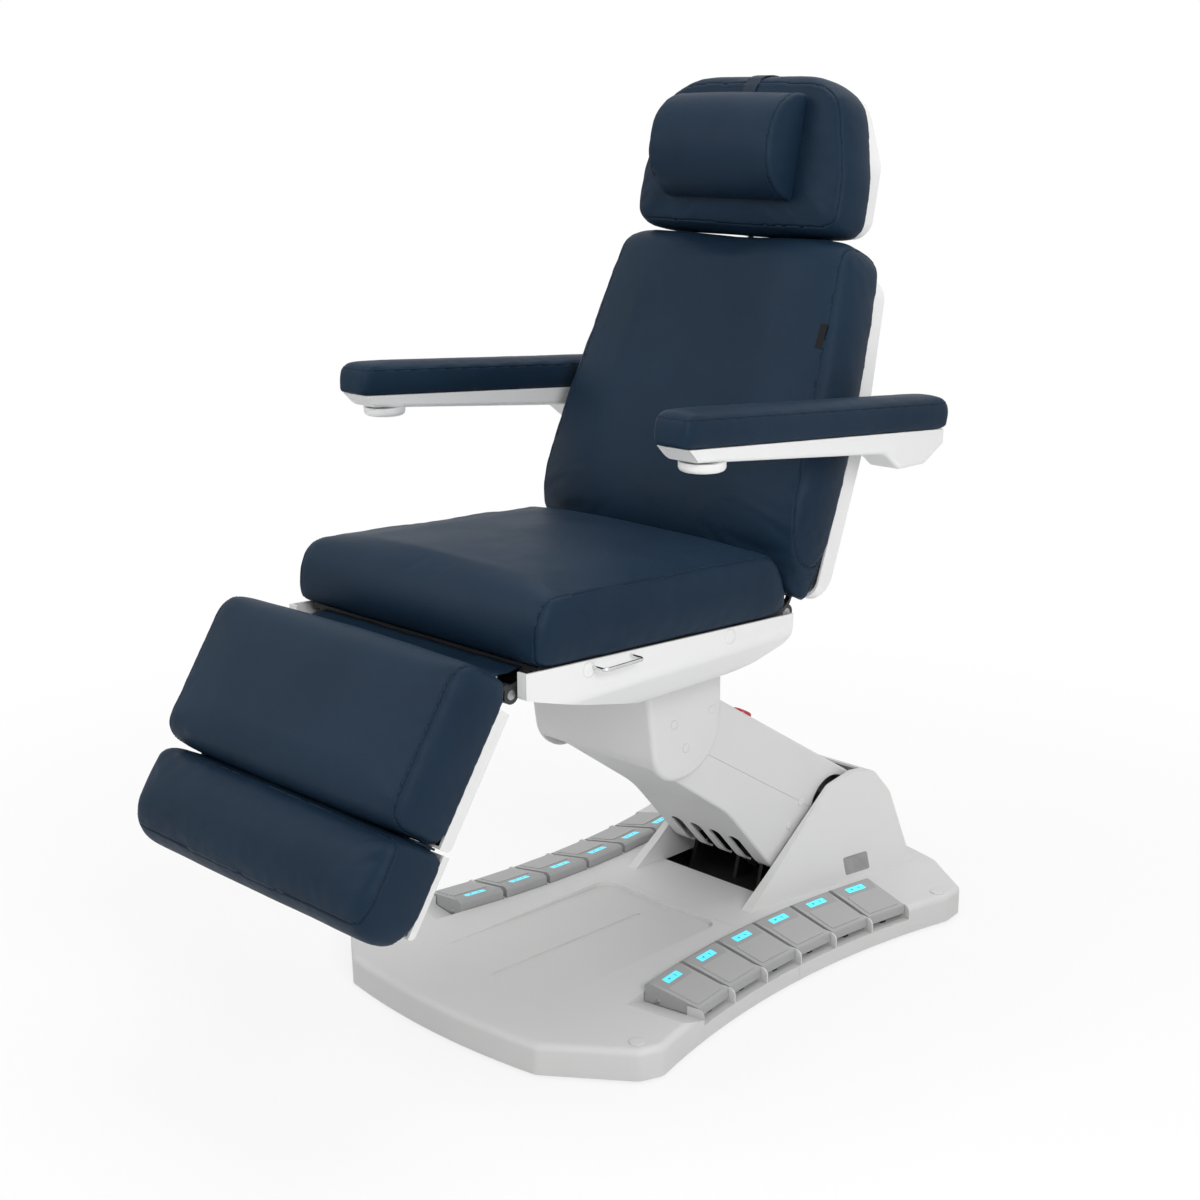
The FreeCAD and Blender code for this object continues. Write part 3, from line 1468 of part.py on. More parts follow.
def drive_unit(y):
    """Geared motor that hangs under the seat board and turns a hinge through its gear end."""
    top = seat_level(y) - seat_board_thickness
    z = top - drive_gear_radius - drive_drop
    motor = rod_across(drive_radius, -drive_length / 2, drive_length / 2, y, z)
    gear = rod_across(drive_gear_radius, drive_length / 2 - drive_gear_length, drive_length / 2, y, z)
    saddle = block((drive_length / 2 - drive_gear_length, y - drive_radius, z),
                   (drive_length / 2, y + drive_radius, top))
    board = block((-seat_half_width, -seat_length * 2, -seat_board_thickness - drive_gap),
                  (seat_half_width, seat_length, overrun))
    saddle = saddle.cut(on_seat(board))
    return fused([motor, gear, saddle])


# Leg rest, drawn flat about the leg hinge with the foot end towards -Y

def on_leg(shape):
    """Lower a piece of the leg rest to its rest angle."""
    return turned(shape, leg_hinge_y, leg_hinge_z, leg_lowered_angle)


def flat_shell(y_near, y_far, half, bottom, top, end_round, wall):
    """Shallow tray shell under a cushion: rounded far end, leaning flanks, open at the near end."""
    def form(shrink):
        past = overrun if shrink > 0 else 0
        side = side_prism(
            [(past - y_near, top + past), (shrink - y_far, top + past),
             (shrink - y_far, bottom + shrink), (past - y_near, bottom + shrink)],
            [0, 0, end_round, 0], -half, half)
        wide = half - shrink
        front = front_prism(
            [(-wide, top + overrun * 2), (-wide + shell_flank_inset, bottom + shrink - slip),
             (wide - shell_flank_inset, bottom + shrink - slip), (wide, top + overrun * 2)],
            [0, edge_round, edge_round, 0], -y_far - overrun, overrun)
        return side.common(front)
    return form(0).cut(form(wall))


def calf_shell():
    """White shell behind the calf cushion."""
    shell = flat_shell(calf_shell_start, calf_shell_end, calf_shell_half_width, calf_shell_bottom,
                       calf_seat - slip, calf_shell_round, shell_wall)
    slot = foot_rail_slot(-calf_shell_end - overrun, -calf_shell_end + overrun)
    return on_leg(shell.cut(slot))


def foot_rail_slot(y_from, y_to):
    """Opening through which the foot rails slide."""
    low = leg_rail_bottom + foot_rail_rise - slip
    x = leg_rail_x + (leg_rail_width - foot_rail_width) / 2
    slot = block((x - slip, y_from, low),
                 (x + foot_rail_width + slip, y_to, low + foot_rail_height + slip * 2))
    return both_sides(slot)


def calf_cushion():
    """Calf upholstery."""
    solid = cushion(calf_length, calf_half_width, calf_side, calf_crown, calf_rise, calf_roll, calf_draw,
                    (calf_far_roll, calf_corner, soft_end_shares),
                    (calf_near_roll, calf_corner, soft_end_shares), level_taper_shares)
    solid.translate(V(0, -calf_start - calf_length, calf_seat))
    return on_leg(solid)


def leg_frame():
    """Two hollow rails with hinge eyes, joined by two cross members and a carrier board."""
    low, high = leg_rail_bottom, leg_rail_bottom + leg_rail_height
    near = calf_shell_start + overrun
    far = calf_shell_end - shell_wall - calf_shell_round
    rail = block((leg_rail_x, -far, low), (leg_rail_x + leg_rail_width, -near, high))
    eye = rod_across(hinge_eye_radius, hinge_leg_eye_x, hinge_leg_eye_x + hinge_eye_thickness, 0, 0)
    arm = side_prism(
        [(0, hinge_eye_radius), (0, -hinge_eye_radius * eye_arm_share), (shell_wall - calf_shell_start, low),
         (-near - overrun, low), (-near - overrun, high)],
        [0] * 5, hinge_leg_eye_x, hinge_leg_eye_x + hinge_eye_thickness)
    frame = [rail, eye, arm, mirrored(rail), mirrored(eye), mirrored(arm)]
    for y in (-near - leg_cross_width * 2, -far + leg_cross_width):
        frame.append(block((-leg_rail_x, y, low), (leg_rail_x, y + leg_cross_width, high)))
    board_half = calf_shell_half_width - shell_flank_inset - shell_wall * 2
    frame.append(block((-board_half, -far, high), (board_half, -near, calf_seat - bed_gap)))
    frame = fused(frame)
    span = hinge_leg_eye_x + hinge_eye_thickness + overrun
    frame = frame.cut(rod_across(hinge_pin_radius + running_fit, -span, span, 0, 0))
    return on_leg(frame.cut(foot_rail_slot(-far - overrun, -far + foot_rail_inside + overrun)))


def foot_start():
    """Distance from the leg hinge to the near end of the foot cushion."""
    return calf_start + calf_length + foot_gap


def foot_cushion():
    """Foot upholstery with its rounded end."""
    solid = cushion(foot_length, calf_half_width, foot_side, foot_crown, calf_rise, calf_roll, calf_draw,
                    (foot_near_roll, calf_corner, soft_end_shares),
                    (foot_far_roll, foot_corner, foot_far_shares), level_taper_shares)
    solid = solid.mirror(V(0, 0, 0), ALONG)
    solid.translate(V(0, -foot_start(), foot_seat))
    return on_leg(solid)


def foot_shell():
    """White shell behind the foot cushion, closed towards the calf shell."""
    near = foot_start()
    shell = flat_shell(near, near + foot_shell_length, calf_shell_half_width, foot_shell_bottom,
                       foot_seat - slip, calf_shell_round, shell_wall)
    return on_leg(shell)


def foot_rails():
    """Two flat bars that slide in the leg rails, with the board that carries the foot cushion."""
    low = leg_rail_bottom + foot_rail_rise
    start = calf_shell_end - shell_wall - foot_rail_inside
    end = foot_start() + foot_shell_length - shell_wall - calf_shell_round
    x = leg_rail_x + (leg_rail_width - foot_rail_width) / 2
    bar = block((x, -end, low), (x + foot_rail_width, -start, low + foot_rail_height))
    board = block((-x - foot_rail_width, -end, foot_shell_bottom + shell_wall + bed_gap),
                  (x + foot_rail_width, -foot_start() - shell_wall, foot_seat - foot_board_gap))
    return on_leg(fused([bar, mirrored(bar), board]))


# Back, drawn flat behind the back hinge

def on_back(shape):
    """Raise a piece of the back to its rest angle."""
    return turned(shape, back_hinge_y, back_hinge_z, back_raised_angle)


def back_cushion():
    """Back upholstery with side bolsters and a shallow middle channel."""
    solid = cushion(back_length, back_half_width, back_side, back_crown, -back_dish, back_roll, back_draw,
                    (back_low_roll, back_low_corner, back_low_shares),
                    (back_top_roll, back_top_corner, soft_end_shares), back_taper_shares)
    solid.translate(V(0, back_start, back_seat))
    return on_back(solid)


def back_plan(shrink, z_from, z_to):
    """Tapered plan of the back shell."""
    low = back_shell_low_half - shrink
    middle = back_shell_mid_half - shrink
    top = back_shell_top_half - shrink
    start, end = back_shell_start + shrink, back_shell_end - shrink
    corners = [(-low, start), (low, start), (middle, back_shell_mid), (top, end), (-top, end),
               (-middle, back_shell_mid)]
    foot, waist, crown = back_shell_corner / 2, back_shell_waist_round, back_shell_corner
    return plan_prism(corners, [foot, foot, waist, crown, crown, waist], z_from, z_to)


def back_shell():
    """White shell behind the back cushion with a domed rear face and holes for the armrest shafts."""
    def form(shrink):
        rear = back_shell_rear + shrink
        top = back_seat - slip + overrun * (shrink > 0)
        body = back_plan(shrink, rear, top)
        lean = back_shell_slope_rise
        side = side_prism(
            [(back_shell_start - overrun, top + overrun), (back_shell_start - overrun, rear + lean),
             (back_shell_start + back_shell_low_dome, rear), (back_shell_end - back_shell_top_dome, rear),
             (back_shell_end + overrun, rear + lean), (back_shell_end + overrun, top + overrun)],
            [0, 0, lean, lean, 0, 0], -back_half_width, back_half_width)
        return body.common(side)
    shell = form(0).cut(form(shell_wall))
    y, z = arm_pivot_on_back()
    shaft_hole = rod_across(hub_shaft_radius + slip, back_shell_mid_half - overrun * 2,
                            back_half_width + overrun, y, z)
    shell = shell.cut(both_sides(shaft_hole))
    slot_end = back_shell_start + shell_wall + overrun * 2
    eye_slot = block((hinge_leg_eye_x - overrun, 0, back_shell_rear - overrun),
                     (hinge_leg_eye_x + hinge_eye_thickness + overrun, slot_end, back_seat + overrun))
    shell = shell.cut(both_sides(eye_slot))
    rod_hole = Part.makeCylinder(head_rod_radius + slip * 2, overrun * 4,
                                 V(head_rod_x, back_shell_end - overrun * 2, head_rod_level), ALONG)
    return on_back(shell.cut(both_sides(rod_hole)))


def arm_pivot_on_back():
    """Place of the armrest pivot in the flat drawing of the back."""
    return flat_place(arm_pivot_y, arm_pivot_z)


def flat_place(y, z):
    """Place in the flat drawing of the back of a point of the raised back."""
    spot = FreeCAD.Rotation(ACROSS, -back_raised_angle).multVec(V(0, y - back_hinge_y, z - back_hinge_z))
    return spot.y, spot.z


def back_frame():
    """Carrier board with two rails, hinge eyes, armrest shafts and sleeves for the head rods."""
    board_low = back_seat - back_board_thickness
    start = back_shell_start + back_shell_low_dome
    rail = block((back_rail_x, start, board_low - back_rail_height),
                 (back_rail_x + back_rail_width, back_rail_end(), board_low))
    board = back_plan(back_board_inset, board_low, back_seat - bed_gap)
    eye = rod_across(hinge_eye_radius, hinge_leg_eye_x, hinge_leg_eye_x + hinge_eye_thickness, 0, 0)
    reach = start + back_arm_reach
    arm = side_prism(
        [(0, 0), (0, -hinge_eye_radius), (reach, board_low - back_rail_height), (reach, board_low),
         (back_start, back_seat - bed_gap)],
        [0] * 5, hinge_leg_eye_x, hinge_leg_eye_x + hinge_eye_thickness)
    tie = block((back_rail_x, reach - hinge_eye_thickness * 2, board_low - back_rail_height),
                (hinge_leg_eye_x + hinge_eye_thickness, reach, board_low))
    y, z = arm_pivot_on_back()
    shaft = rod_across(hub_shaft_radius, back_rail_x, hub_outer_x - hub_wall, y, z)
    shaft_boss = block((back_rail_x, y - shaft_boss_half, z - hub_shaft_radius / 2),
                       (back_rail_x + back_rail_width, y + shaft_boss_half, board_low))
    side = [rail, eye, arm, tie, shaft, shaft_boss]
    pieces = [board] + side + [mirrored(piece) for piece in side]
    sleeve = Part.makeCylinder(head_sleeve_radius, head_sleeve_length,
                               V(head_rod_x, head_sleeve_end - head_sleeve_length, head_rod_level), ALONG)
    frame = fused(pieces + [sleeve, mirrored(sleeve)])
    span = hinge_leg_eye_x + hinge_eye_thickness + overrun
    frame = frame.cut(rod_across(hinge_pin_radius + running_fit, -span, span, 0, 0))
    rod_bore = Part.makeCylinder(head_rod_radius + running_fit, back_length,
                                 V(head_rod_x, back_start, head_rod_level), ALONG)
    return on_back(frame.cut(both_sides(rod_bore)))


def back_rail_end():
    """Rear end of the back rails, where the shell starts to narrow."""
    return back_shell_mid + back_shell_corner * 2


# Head rest

def on_head(shape):
    """Raise a piece of the head rest, drawn flat from its lower edge, to its rest angle."""
    return turned(shape, head_base_y, head_base_z, RIGHT_ANGLE - head_lean_angle)


def head_cushion():
    """Head upholstery."""
    solid = cushion(head_length, head_half_width, head_side, head_crown, head_rise, head_roll, head_draw,
                    (head_low_roll, head_low_corner, soft_end_shares),
                    (head_top_roll, head_top_corner, soft_end_shares), head_taper_shares)
    solid.translate(UP * head_seat)
    return on_head(solid)


def head_shell():
    """White shell behind the head cushion, open below for the rod bracket, with two hinge lugs inside."""
    def form(shrink):
        low, top = head_shell_low_half - shrink, head_shell_top_half - shrink
        start, end = head_shell_start + shrink, head_shell_start + head_shell_length - shrink
        rear = head_shell_rear + shrink
        upper = head_seat - slip + overrun * (shrink > 0)
        middle = (start + end) / 2
        corners = [(-low, start), (low, start), (low, middle), (top, end), (-top, end), (-low, middle)]
        foot, crown = head_shell_corner / 2, head_shell_corner
        body = plan_prism(corners, [foot, foot, crown, crown, crown, crown], rear, upper)
        lean = head_shell_slope_rise
        side = side_prism(
            [(head_shell_start - overrun, upper + overrun), (head_shell_start - overrun, rear + lean),
             (head_shell_start + lean * 2, rear), (end - head_shell_dome, rear), (end + overrun, rear + lean),
             (end + overrun, upper + overrun)],
            [0, 0, lean, lean * 2, 0, 0], -head_half_width, head_half_width)
        return body.common(side)
    shell = form(0).cut(form(shell_wall))
    half = head_rod_x + head_bar_overhang + overrun
    notch = block((-half, -overrun, head_shell_rear - overrun),
                  (half, head_drop + overrun * 2, head_seat - slip))
    shell = shell.cut(notch)
    lug_x = head_lug_inner_x + head_lug_thickness + slip
    lug = block((lug_x, head_drop - head_eye_radius, -head_back - head_eye_radius),
                (lug_x + head_lug_thickness, head_drop + head_lug_length, head_seat - slip))
    tie_end = head_drop + head_lug_length + head_tie_width
    back_plate = block((-half, tie_end - head_plate_length, head_seat - slip - shell_wall),
                       (half, tie_end, head_seat - slip))
    tie_half = head_shell_low_half - shell_wall / 2
    side_tie = block((-tie_half, head_drop + head_lug_length, head_seat - slip - shell_wall),
                     (tie_half, tie_end, head_seat - slip))
    shell = fused([shell, lug, mirrored(lug), back_plate, side_tie])
    span = lug_x + head_lug_thickness + overrun
    shell = shell.cut(rod_across(head_hinge_radius + running_fit, -span, span, head_drop, -head_back))
    return on_head(shell)


def head_rods():
    """Two rods, the bar that joins them, and the bracket with the hinge pin of the head rest."""
    rod = Part.makeCylinder(head_rod_radius, head_rod_end - head_rod_start,
                            V(head_rod_x, head_rod_start, head_rod_level), ALONG)
    half = head_rod_x + head_bar_overhang
    bar_low = head_rod_end - head_bar_height
    bar = block((-half, bar_low, head_rod_level - head_rod_radius),
                (half, head_rod_end, head_rod_level + head_rod_radius))
    y, z = flat_place(head_pivot_y, head_pivot_z)
    lug = side_prism(
        [(bar_low, head_rod_level - head_rod_radius), (head_rod_end, head_rod_level - head_rod_radius),
         (y + head_eye_radius, z - head_eye_radius / 2), (y + head_eye_radius / 2, z + head_eye_radius),
         (y - head_eye_radius, z + head_eye_radius / 2), (bar_low, head_rod_level + head_rod_radius)],
        [0] * 6, head_lug_inner_x, head_lug_inner_x + head_lug_thickness)
    pin_end = head_lug_inner_x + head_lug_thickness * 2 + slip
    pin = rod_across(head_hinge_radius, head_lug_inner_x, pin_end, y, z)
    side = [rod, lug, pin]
    return on_back(fused([bar] + side + [mirrored(piece) for piece in side]))


def head_pillow():
    """Half-round neck pillow with its flat side on the head cushion."""
    base = head_seat + head_side + head_crown + head_rise + slip
    wires = []
    for x_share, size_share in pillow_form_shares:
        x = pillow_half_width * x_share
        inset = pillow_end_inset * (1 - size_share)
        low, high = pillow_start + inset, pillow_start + pillow_length - inset
        rise = pillow_height * size_share
        middle = (low + high) / 2
        quarter = pillow_length * pillow_quarter_share
        wires.append(Part.Wire([
            Part.makeLine(V(x, high, base), V(x, low, base)),
            Part.Arc(V(x, low, base), V(x, middle - quarter, base + rise * pillow_side_share),
                     V(x, middle, base + rise)).toShape(),
            Part.Arc(V(x, middle, base + rise), V(x, middle + quarter, base + rise * pillow_side_share),
                     V(x, high, base)).toShape(),
        ]))
    return on_head(Part.makeLoft(wires, True, False))


# Armrests

def on_armrest(shape):
    """Tilt a piece drawn flat forward of the pad's rear lower edge into place."""
    return turned(shape, pad_front_y + pad_length, pad_rear_z, -arm_tilt_angle)


def pad_level(y):
    """Height of the pad's underside at a place along the armrest."""
    return pad_rear_z + (pad_front_y + pad_length - y) * math.tan(math.radians(arm_tilt_angle))


def armrest_pad():
    """Upholstered pad of the left armrest."""
    solid = cushion(pad_length, pad_half_width, pad_side, pad_crown, pad_rise, pad_roll, pad_draw,
                    (pad_front_roll, pad_front_corner, pad_end_shares),
                    (pad_rear_roll, pad_rear_corner, pad_end_shares), level_taper_shares)
    solid.translate(V(pad_centre_x, -pad_length, 0))
    return on_armrest(solid)


def armrest_shell():
    """White beam of the left armrest: slim nose, deeper tail with the pivot boss, round cap below."""
    rear_y = pad_front_y + pad_length
    front = pad_front_y + arm_shell_front_inset
    waist = pad_front_y + pad_length * arm_shell_waist_share
    rear = rear_y - arm_shell_rear_inset
    corners = [
        (front, pad_level(front) - bed_gap),
        (front + arm_shell_front_depth, pad_level(front) - arm_shell_front_depth),
        (waist, pad_level(waist) - arm_shell_rear_depth),
        (arm_pivot_y - arm_boss_radius, arm_pivot_z - arm_boss_radius),
        (arm_pivot_y + arm_boss_radius, arm_pivot_z - arm_boss_radius),
        (rear, arm_pivot_z - arm_boss_radius + arm_tail_rise),
        (rear, pad_level(rear) - bed_gap),
    ]
    radii = [0, 0, arm_boss_radius, arm_boss_radius / 2, arm_boss_radius / 2, arm_shell_round, 0]
    half = arm_shell_half_width
    beam = side_prism(corners, radii, pad_centre_x - half, pad_centre_x + half)
    rim = [edge for edge in beam.Edges if abs(edge.Vertexes[0].X - edge.Vertexes[-1].X) < slip
           and min(v.Z for v in edge.Vertexes) < pad_level(rear) - slip
           and max(v.Z for v in edge.Vertexes) < pad_level(front) - slip]
    beam = beam.makeFillet(arm_shell_round, rim)
    cap_y = pad_front_y + arm_cap_reach
    cap_z = pad_level(cap_y) - arm_shell_front_depth
    cap = post(arm_cap_radius, pad_centre_x, cap_y, cap_z - arm_cap_height, cap_z)
    cap = cap.makeFillet(arm_cap_round, [cap.Edges[2]])
    beam = fused([beam, cap])
    bore_end = hub_outer_x + hub_pin_length + slip
    bore = rod_across(hub_pin_radius + running_fit, 0, bore_end, arm_pivot_y, arm_pivot_z)
    return beam.cut(bore)


def arm_hub():
    """Hub of the left armrest: turns on the back's shaft and carries the armrest's pin."""
    disc = rod_across(hub_radius, hub_inner_x, hub_outer_x, arm_pivot_y, arm_pivot_z)
    disc = disc.makeChamfer(hub_chamfer, [disc.Edges[0]])
    pin = rod_across(hub_pin_radius, hub_outer_x, hub_outer_x + hub_pin_length, arm_pivot_y, arm_pivot_z)
    bore = rod_across(hub_shaft_radius + running_fit, hub_inner_x - overrun, hub_outer_x - hub_wall + slip,
                      arm_pivot_y, arm_pivot_z)
    return fused([disc, pin]).cut(bore)


def chair_parts():
    """All named pieces of the chair in their places."""
    cover = base_cover()
    shell = arm_shell()
    parts = {
        "base_frame": base_frame(),
        "leveling_feet": leveling_feet(),
        "base_front_cover": base_front_cover(cover),
        "base_rear_cover": base_rear_cover(cover),
        "base_pivot_shafts": base_pivot_shafts(),
        "control_box": control_box(),
        "power_inlet": power_inlet(),
        "lift_arm_frame": on_arm(lift_arm_frame()),
        "lift_arm_cover": on_arm(lift_arm_cover(shell)),
        "lift_arm_belly": on_arm(lift_arm_belly(shell)),
        "parallel_link": parallel_link(),
        "lift_actuator": lift_actuator(),
        "lift_rod": lift_rod(),
        "stop_button": stop_button(),
        "knuckle_cover": knuckle_cover(),
        "knuckle_bracket": knuckle_bracket(),
        "knuckle_shafts": knuckle_shafts(),
        "seat_frame": seat_frame(),
        "seat_pan": seat_pan(),
        "seat_cushion": seat_cushion(),
        "seat_hinge_pins": seat_hinge_pins(),
        "hand_control_hook": hand_control_hook(),
        "leg_flap": leg_flap(),
        "leg_drive": drive_unit(leg_drive_y),
        "back_drive": drive_unit(back_drive_y),
        "leg_frame": leg_frame(),
        "calf_shell": calf_shell(),
        "calf_cushion": calf_cushion(),
        "foot_rails": foot_rails(),
        "foot_shell": foot_shell(),
        "foot_cushion": foot_cushion(),
        "back_frame": back_frame(),
        "back_shell": back_shell(),
        "back_cushion": back_cushion(),
        "head_rods": head_rods(),
        "head_shell": head_shell(),
        "head_cushion": head_cushion(),
        "head_pillow": head_pillow(),
    }
    pins = []
    switches = []
    for index in range(pedal_count):
        left = along_row(pedal(), index)
        parts[f"pedal_left_{index + 1}"] = left
        parts[f"pedal_right_{index + 1}"] = mirrored(left)
        pin = along_row(pedal_pin(0), index)
        switch = along_row(pedal_switch(), index)
        pins += [pin, mirrored(pin)]
        switches += [switch, mirrored(switch)]
    parts["pedal_pins"] = Part.makeCompound(pins)
    parts["pedal_switches"] = Part.makeCompound(switches)
    left_pieces = {"arm_hub": arm_hub(), "armrest_shell": armrest_shell(), "armrest_pad": armrest_pad()}
    for name, piece in left_pieces.items():
        parts[name + "_left"] = piece
        parts[name + "_right"] = mirrored(piece)
    return parts


def main():
    """Write one STEP file for each piece."""
    os.makedirs("parts", exist_ok=True)
    for name, shape in chair_parts().items():
        shape.exportStep(os.path.join("parts", name + ".step"))


if __name__ == "__main__":
    main()
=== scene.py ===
import json
import logging
import math
from dataclasses import dataclass
from enum import Enum
from typing import Optional, Sequence

import bmesh
import bpy
from bmesh.types import BMEdge, BMesh, BMFace, BMVert
from bpy.types import Material, Object
from mathutils import Matrix, Vector, noise


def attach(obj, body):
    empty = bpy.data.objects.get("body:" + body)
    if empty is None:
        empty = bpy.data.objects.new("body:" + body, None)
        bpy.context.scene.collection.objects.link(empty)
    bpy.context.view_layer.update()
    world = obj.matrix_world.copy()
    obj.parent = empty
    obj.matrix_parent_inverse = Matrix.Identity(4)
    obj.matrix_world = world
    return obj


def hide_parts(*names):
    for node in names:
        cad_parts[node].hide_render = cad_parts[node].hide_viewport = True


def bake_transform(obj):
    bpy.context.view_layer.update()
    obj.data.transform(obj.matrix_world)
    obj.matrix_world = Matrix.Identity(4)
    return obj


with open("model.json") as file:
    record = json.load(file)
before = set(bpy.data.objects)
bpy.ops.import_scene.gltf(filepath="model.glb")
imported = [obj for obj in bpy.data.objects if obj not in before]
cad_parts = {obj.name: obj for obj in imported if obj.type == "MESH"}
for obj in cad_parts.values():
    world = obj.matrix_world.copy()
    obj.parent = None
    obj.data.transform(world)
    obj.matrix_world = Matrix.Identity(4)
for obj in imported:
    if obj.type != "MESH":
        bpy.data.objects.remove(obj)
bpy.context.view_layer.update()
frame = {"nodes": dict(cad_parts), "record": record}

LOG = logging.getLogger("procedure_chair")
WELD = 1e-5
CUT = 1e-6
IN_PLANE = 2e-6

Colour = tuple[float, float, float]
Point = tuple[float, float, float]
Path = list[tuple[Vector, Vector]]


def slope(degrees: float) -> tuple[Vector, Vector]:
    """Directions up a slope in the middle plane and out of its upper face."""
    turn = math.radians(degrees)
    return Vector((0, math.cos(turn), math.sin(turn))), Vector((0, -math.sin(turn), math.cos(turn)))


def axes_at(point: Vector, x: Vector, y: Vector, z: Vector) -> Matrix:
    """Matrix at a point with three given axes."""
    return Matrix.Translation(point) @ Matrix((x, y, z)).transposed().to_4x4()


class Side(Enum):
    """The sitter's two sides."""

    LEFT = 1
    RIGHT = -1

    @property
    def word(self) -> str:
        """Lower-case name used in node and body names."""
        return self.name.lower()


class Shade:
    """A shader socket that can be used in sums."""

    def __init__(self, nodes: "Nodes", socket: bpy.types.NodeSocket) -> None:
        """Keep the socket and the tree it belongs to."""
        self.nodes = nodes
        self.socket = socket

    def _maths(self, operation: str, first: object, second: object = 0.0) -> "Shade":
        """Add one Math node for an operation on two values."""
        return self.nodes.node("ShaderNodeMath", {"operation": operation}, {0: first, 1: second})

    def __add__(self, other: object) -> "Shade":
        """Sum of two values."""
        return self._maths("ADD", self, other)

    def __radd__(self, other: object) -> "Shade":
        """Sum with a plain number on the left."""
        return self._maths("ADD", other, self)

    def __sub__(self, other: object) -> "Shade":
        """Difference of two values."""
        return self._maths("SUBTRACT", self, other)

    def __rsub__(self, other: object) -> "Shade":
        """Difference with a plain number on the left."""
        return self._maths("SUBTRACT", other, self)

    def __mul__(self, other: object) -> "Shade":
        """Product of two values."""
        return self._maths("MULTIPLY", self, other)

    def __rmul__(self, other: object) -> "Shade":
        """Product with a plain number on the left."""
        return self._maths("MULTIPLY", other, self)


class Nodes:
    """A node tree under construction."""

    def __init__(self, tree: bpy.types.NodeTree) -> None:
        """Start with an emptied tree."""
        self.tree = tree
        self.tree.nodes.clear()

    def node(self, kind: str, settings: Optional[dict] = None, inputs: Optional[dict] = None,
             out: object = 0) -> Shade:
        """Add any node.

        Args:
            kind: The node's type name.
            settings: Attributes, set first.
            inputs: Values or Shades for sockets, by index or name.
            out: Index or name of the output that is returned.

        Returns:
            The chosen output as a Shade.
        """
        made = self.tree.nodes.new(kind)
        for key, value in (settings or {}).items():
            setattr(made, key, value)
        for key, value in (inputs or {}).items():
            if isinstance(value, Shade):
                self.tree.links.new(value.socket, made.inputs[key])
            else:
                made.inputs[key].default_value = value
        return Shade(self, made.outputs[out])

    def ray(self, kind: str) -> Shade:
        """Whether the ray is of a kind, as 0 or 1."""
        return self.node("ShaderNodeLightPath", out=f"Is {kind} Ray")


class Surface(Nodes):
    """A node material under construction."""

    def __init__(self, name: str) -> None:
        """Start an empty material with a Principled shader.

        Args:
            name: Name of the material.
        """
        self.material = bpy.data.materials.new(name)
        self.material.use_nodes = True
        super().__init__(self.material.node_tree)
        self.output = self.tree.nodes.new("ShaderNodeOutputMaterial")
        self.shader = self.tree.nodes.new("ShaderNodeBsdfPrincipled")
        self.tree.links.new(self.shader.outputs[0], self.output.inputs["Surface"])
        self.place = self.node("ShaderNodeTexCoord", out="Object")

    def noise(self, scale: float, detail: float = 3.0, rough: float = 0.55,
              place: Optional[Shade] = None) -> Shade:
        """Soft noise over the object or another place, from 0 to 1."""
        return self.node("ShaderNodeTexNoise", None, {
            "Vector": place or self.place, "Scale": scale, "Detail": detail, "Roughness": rough})

    def stretched(self, scale: Point) -> Shade:
        """Object coordinates, scaled along each axis."""
        return self.node("ShaderNodeMapping", None, {"Vector": self.place, "Scale": scale})

    def cells(self, scale: float, feature: str = "F1") -> Shade:
        """Distance to the points or edges of small cells."""
        return self.node("ShaderNodeTexVoronoi", {"feature": feature}, {"Vector": self.place, "Scale": scale})

    def blend(self, share: Shade, low: Colour, high: Colour) -> Shade:
        """Colour between two others by a share."""
        return self.node("ShaderNodeMix", {"data_type": "RGBA"},
                         {0: share, 6: (*low, 1.0), 7: (*high, 1.0)}, out=2)

    def spread(self, value: Shade, low: float, high: float) -> Shade:
        """Map a value's middle range onto 0 to 1."""
        return self.node("ShaderNodeMapRange", {"clamp": True}, {0: value, 1: low, 2: high})

    def feed(self, **sockets: object) -> None:
        """Set or link the shader's sockets.

        Args:
            sockets: Values or Shades by socket name; underscores stand for spaces.
        """
        for key, value in sockets.items():
            socket = self.shader.inputs[key.replace("_", " ")]
            if isinstance(value, Shade):
                self.tree.links.new(value.socket, socket)
            else:
                colour = isinstance(value, tuple) and len(value) == 3
                socket.default_value = (*value, 1.0) if colour else value

    def relief(self, height: Shade, strength: float, depth: float) -> None:
        """Bump the surface by a height in metres."""
        bump = self.node("ShaderNodeBump", None,
                         {"Strength": strength, "Distance": depth, "Height": height})
        self.tree.links.new(bump.socket, self.shader.inputs["Normal"])


@dataclass(frozen=True)
class Vinyl:
    """Tight upholstery vinyl with a fine leather grain."""

    name: str = "navy_vinyl"
    dark: Colour = (0.0068, 0.0185, 0.0370)
    light: Colour = (0.0112, 0.0270, 0.0500)
    grain: float = 520.0
    rough: float = 0.44
    specular: float = 0.12
    depth: float = 0.0006

    def material(self) -> Material:
        """Build the finish.

        Returns:
            The material.
        """
        s = Surface(self.name)
        cloud = s.spread(s.noise(5.0, 4.0), 0.3, 0.7)
        pores = s.cells(self.grain)
        creases = s.cells(self.grain * 0.45, "DISTANCE_TO_EDGE")
        fine = s.noise(1500.0, 2.0)
        wear = s.spread(s.noise(14.0, 5.0), 0.45, 0.8)
        s.feed(Base_Color=s.blend(cloud * 0.8 + pores * 0.2, self.dark, self.light),
               Roughness=self.rough + cloud * 0.07 + pores * 0.08 - wear * 0.05,
               IOR=1.47, Specular_IOR_Level=self.specular)
        s.relief(pores * 0.5 + s.spread(creases, 0.0, 0.12) * 0.7 + fine * 0.25, 0.22, self.depth)
        return s.material


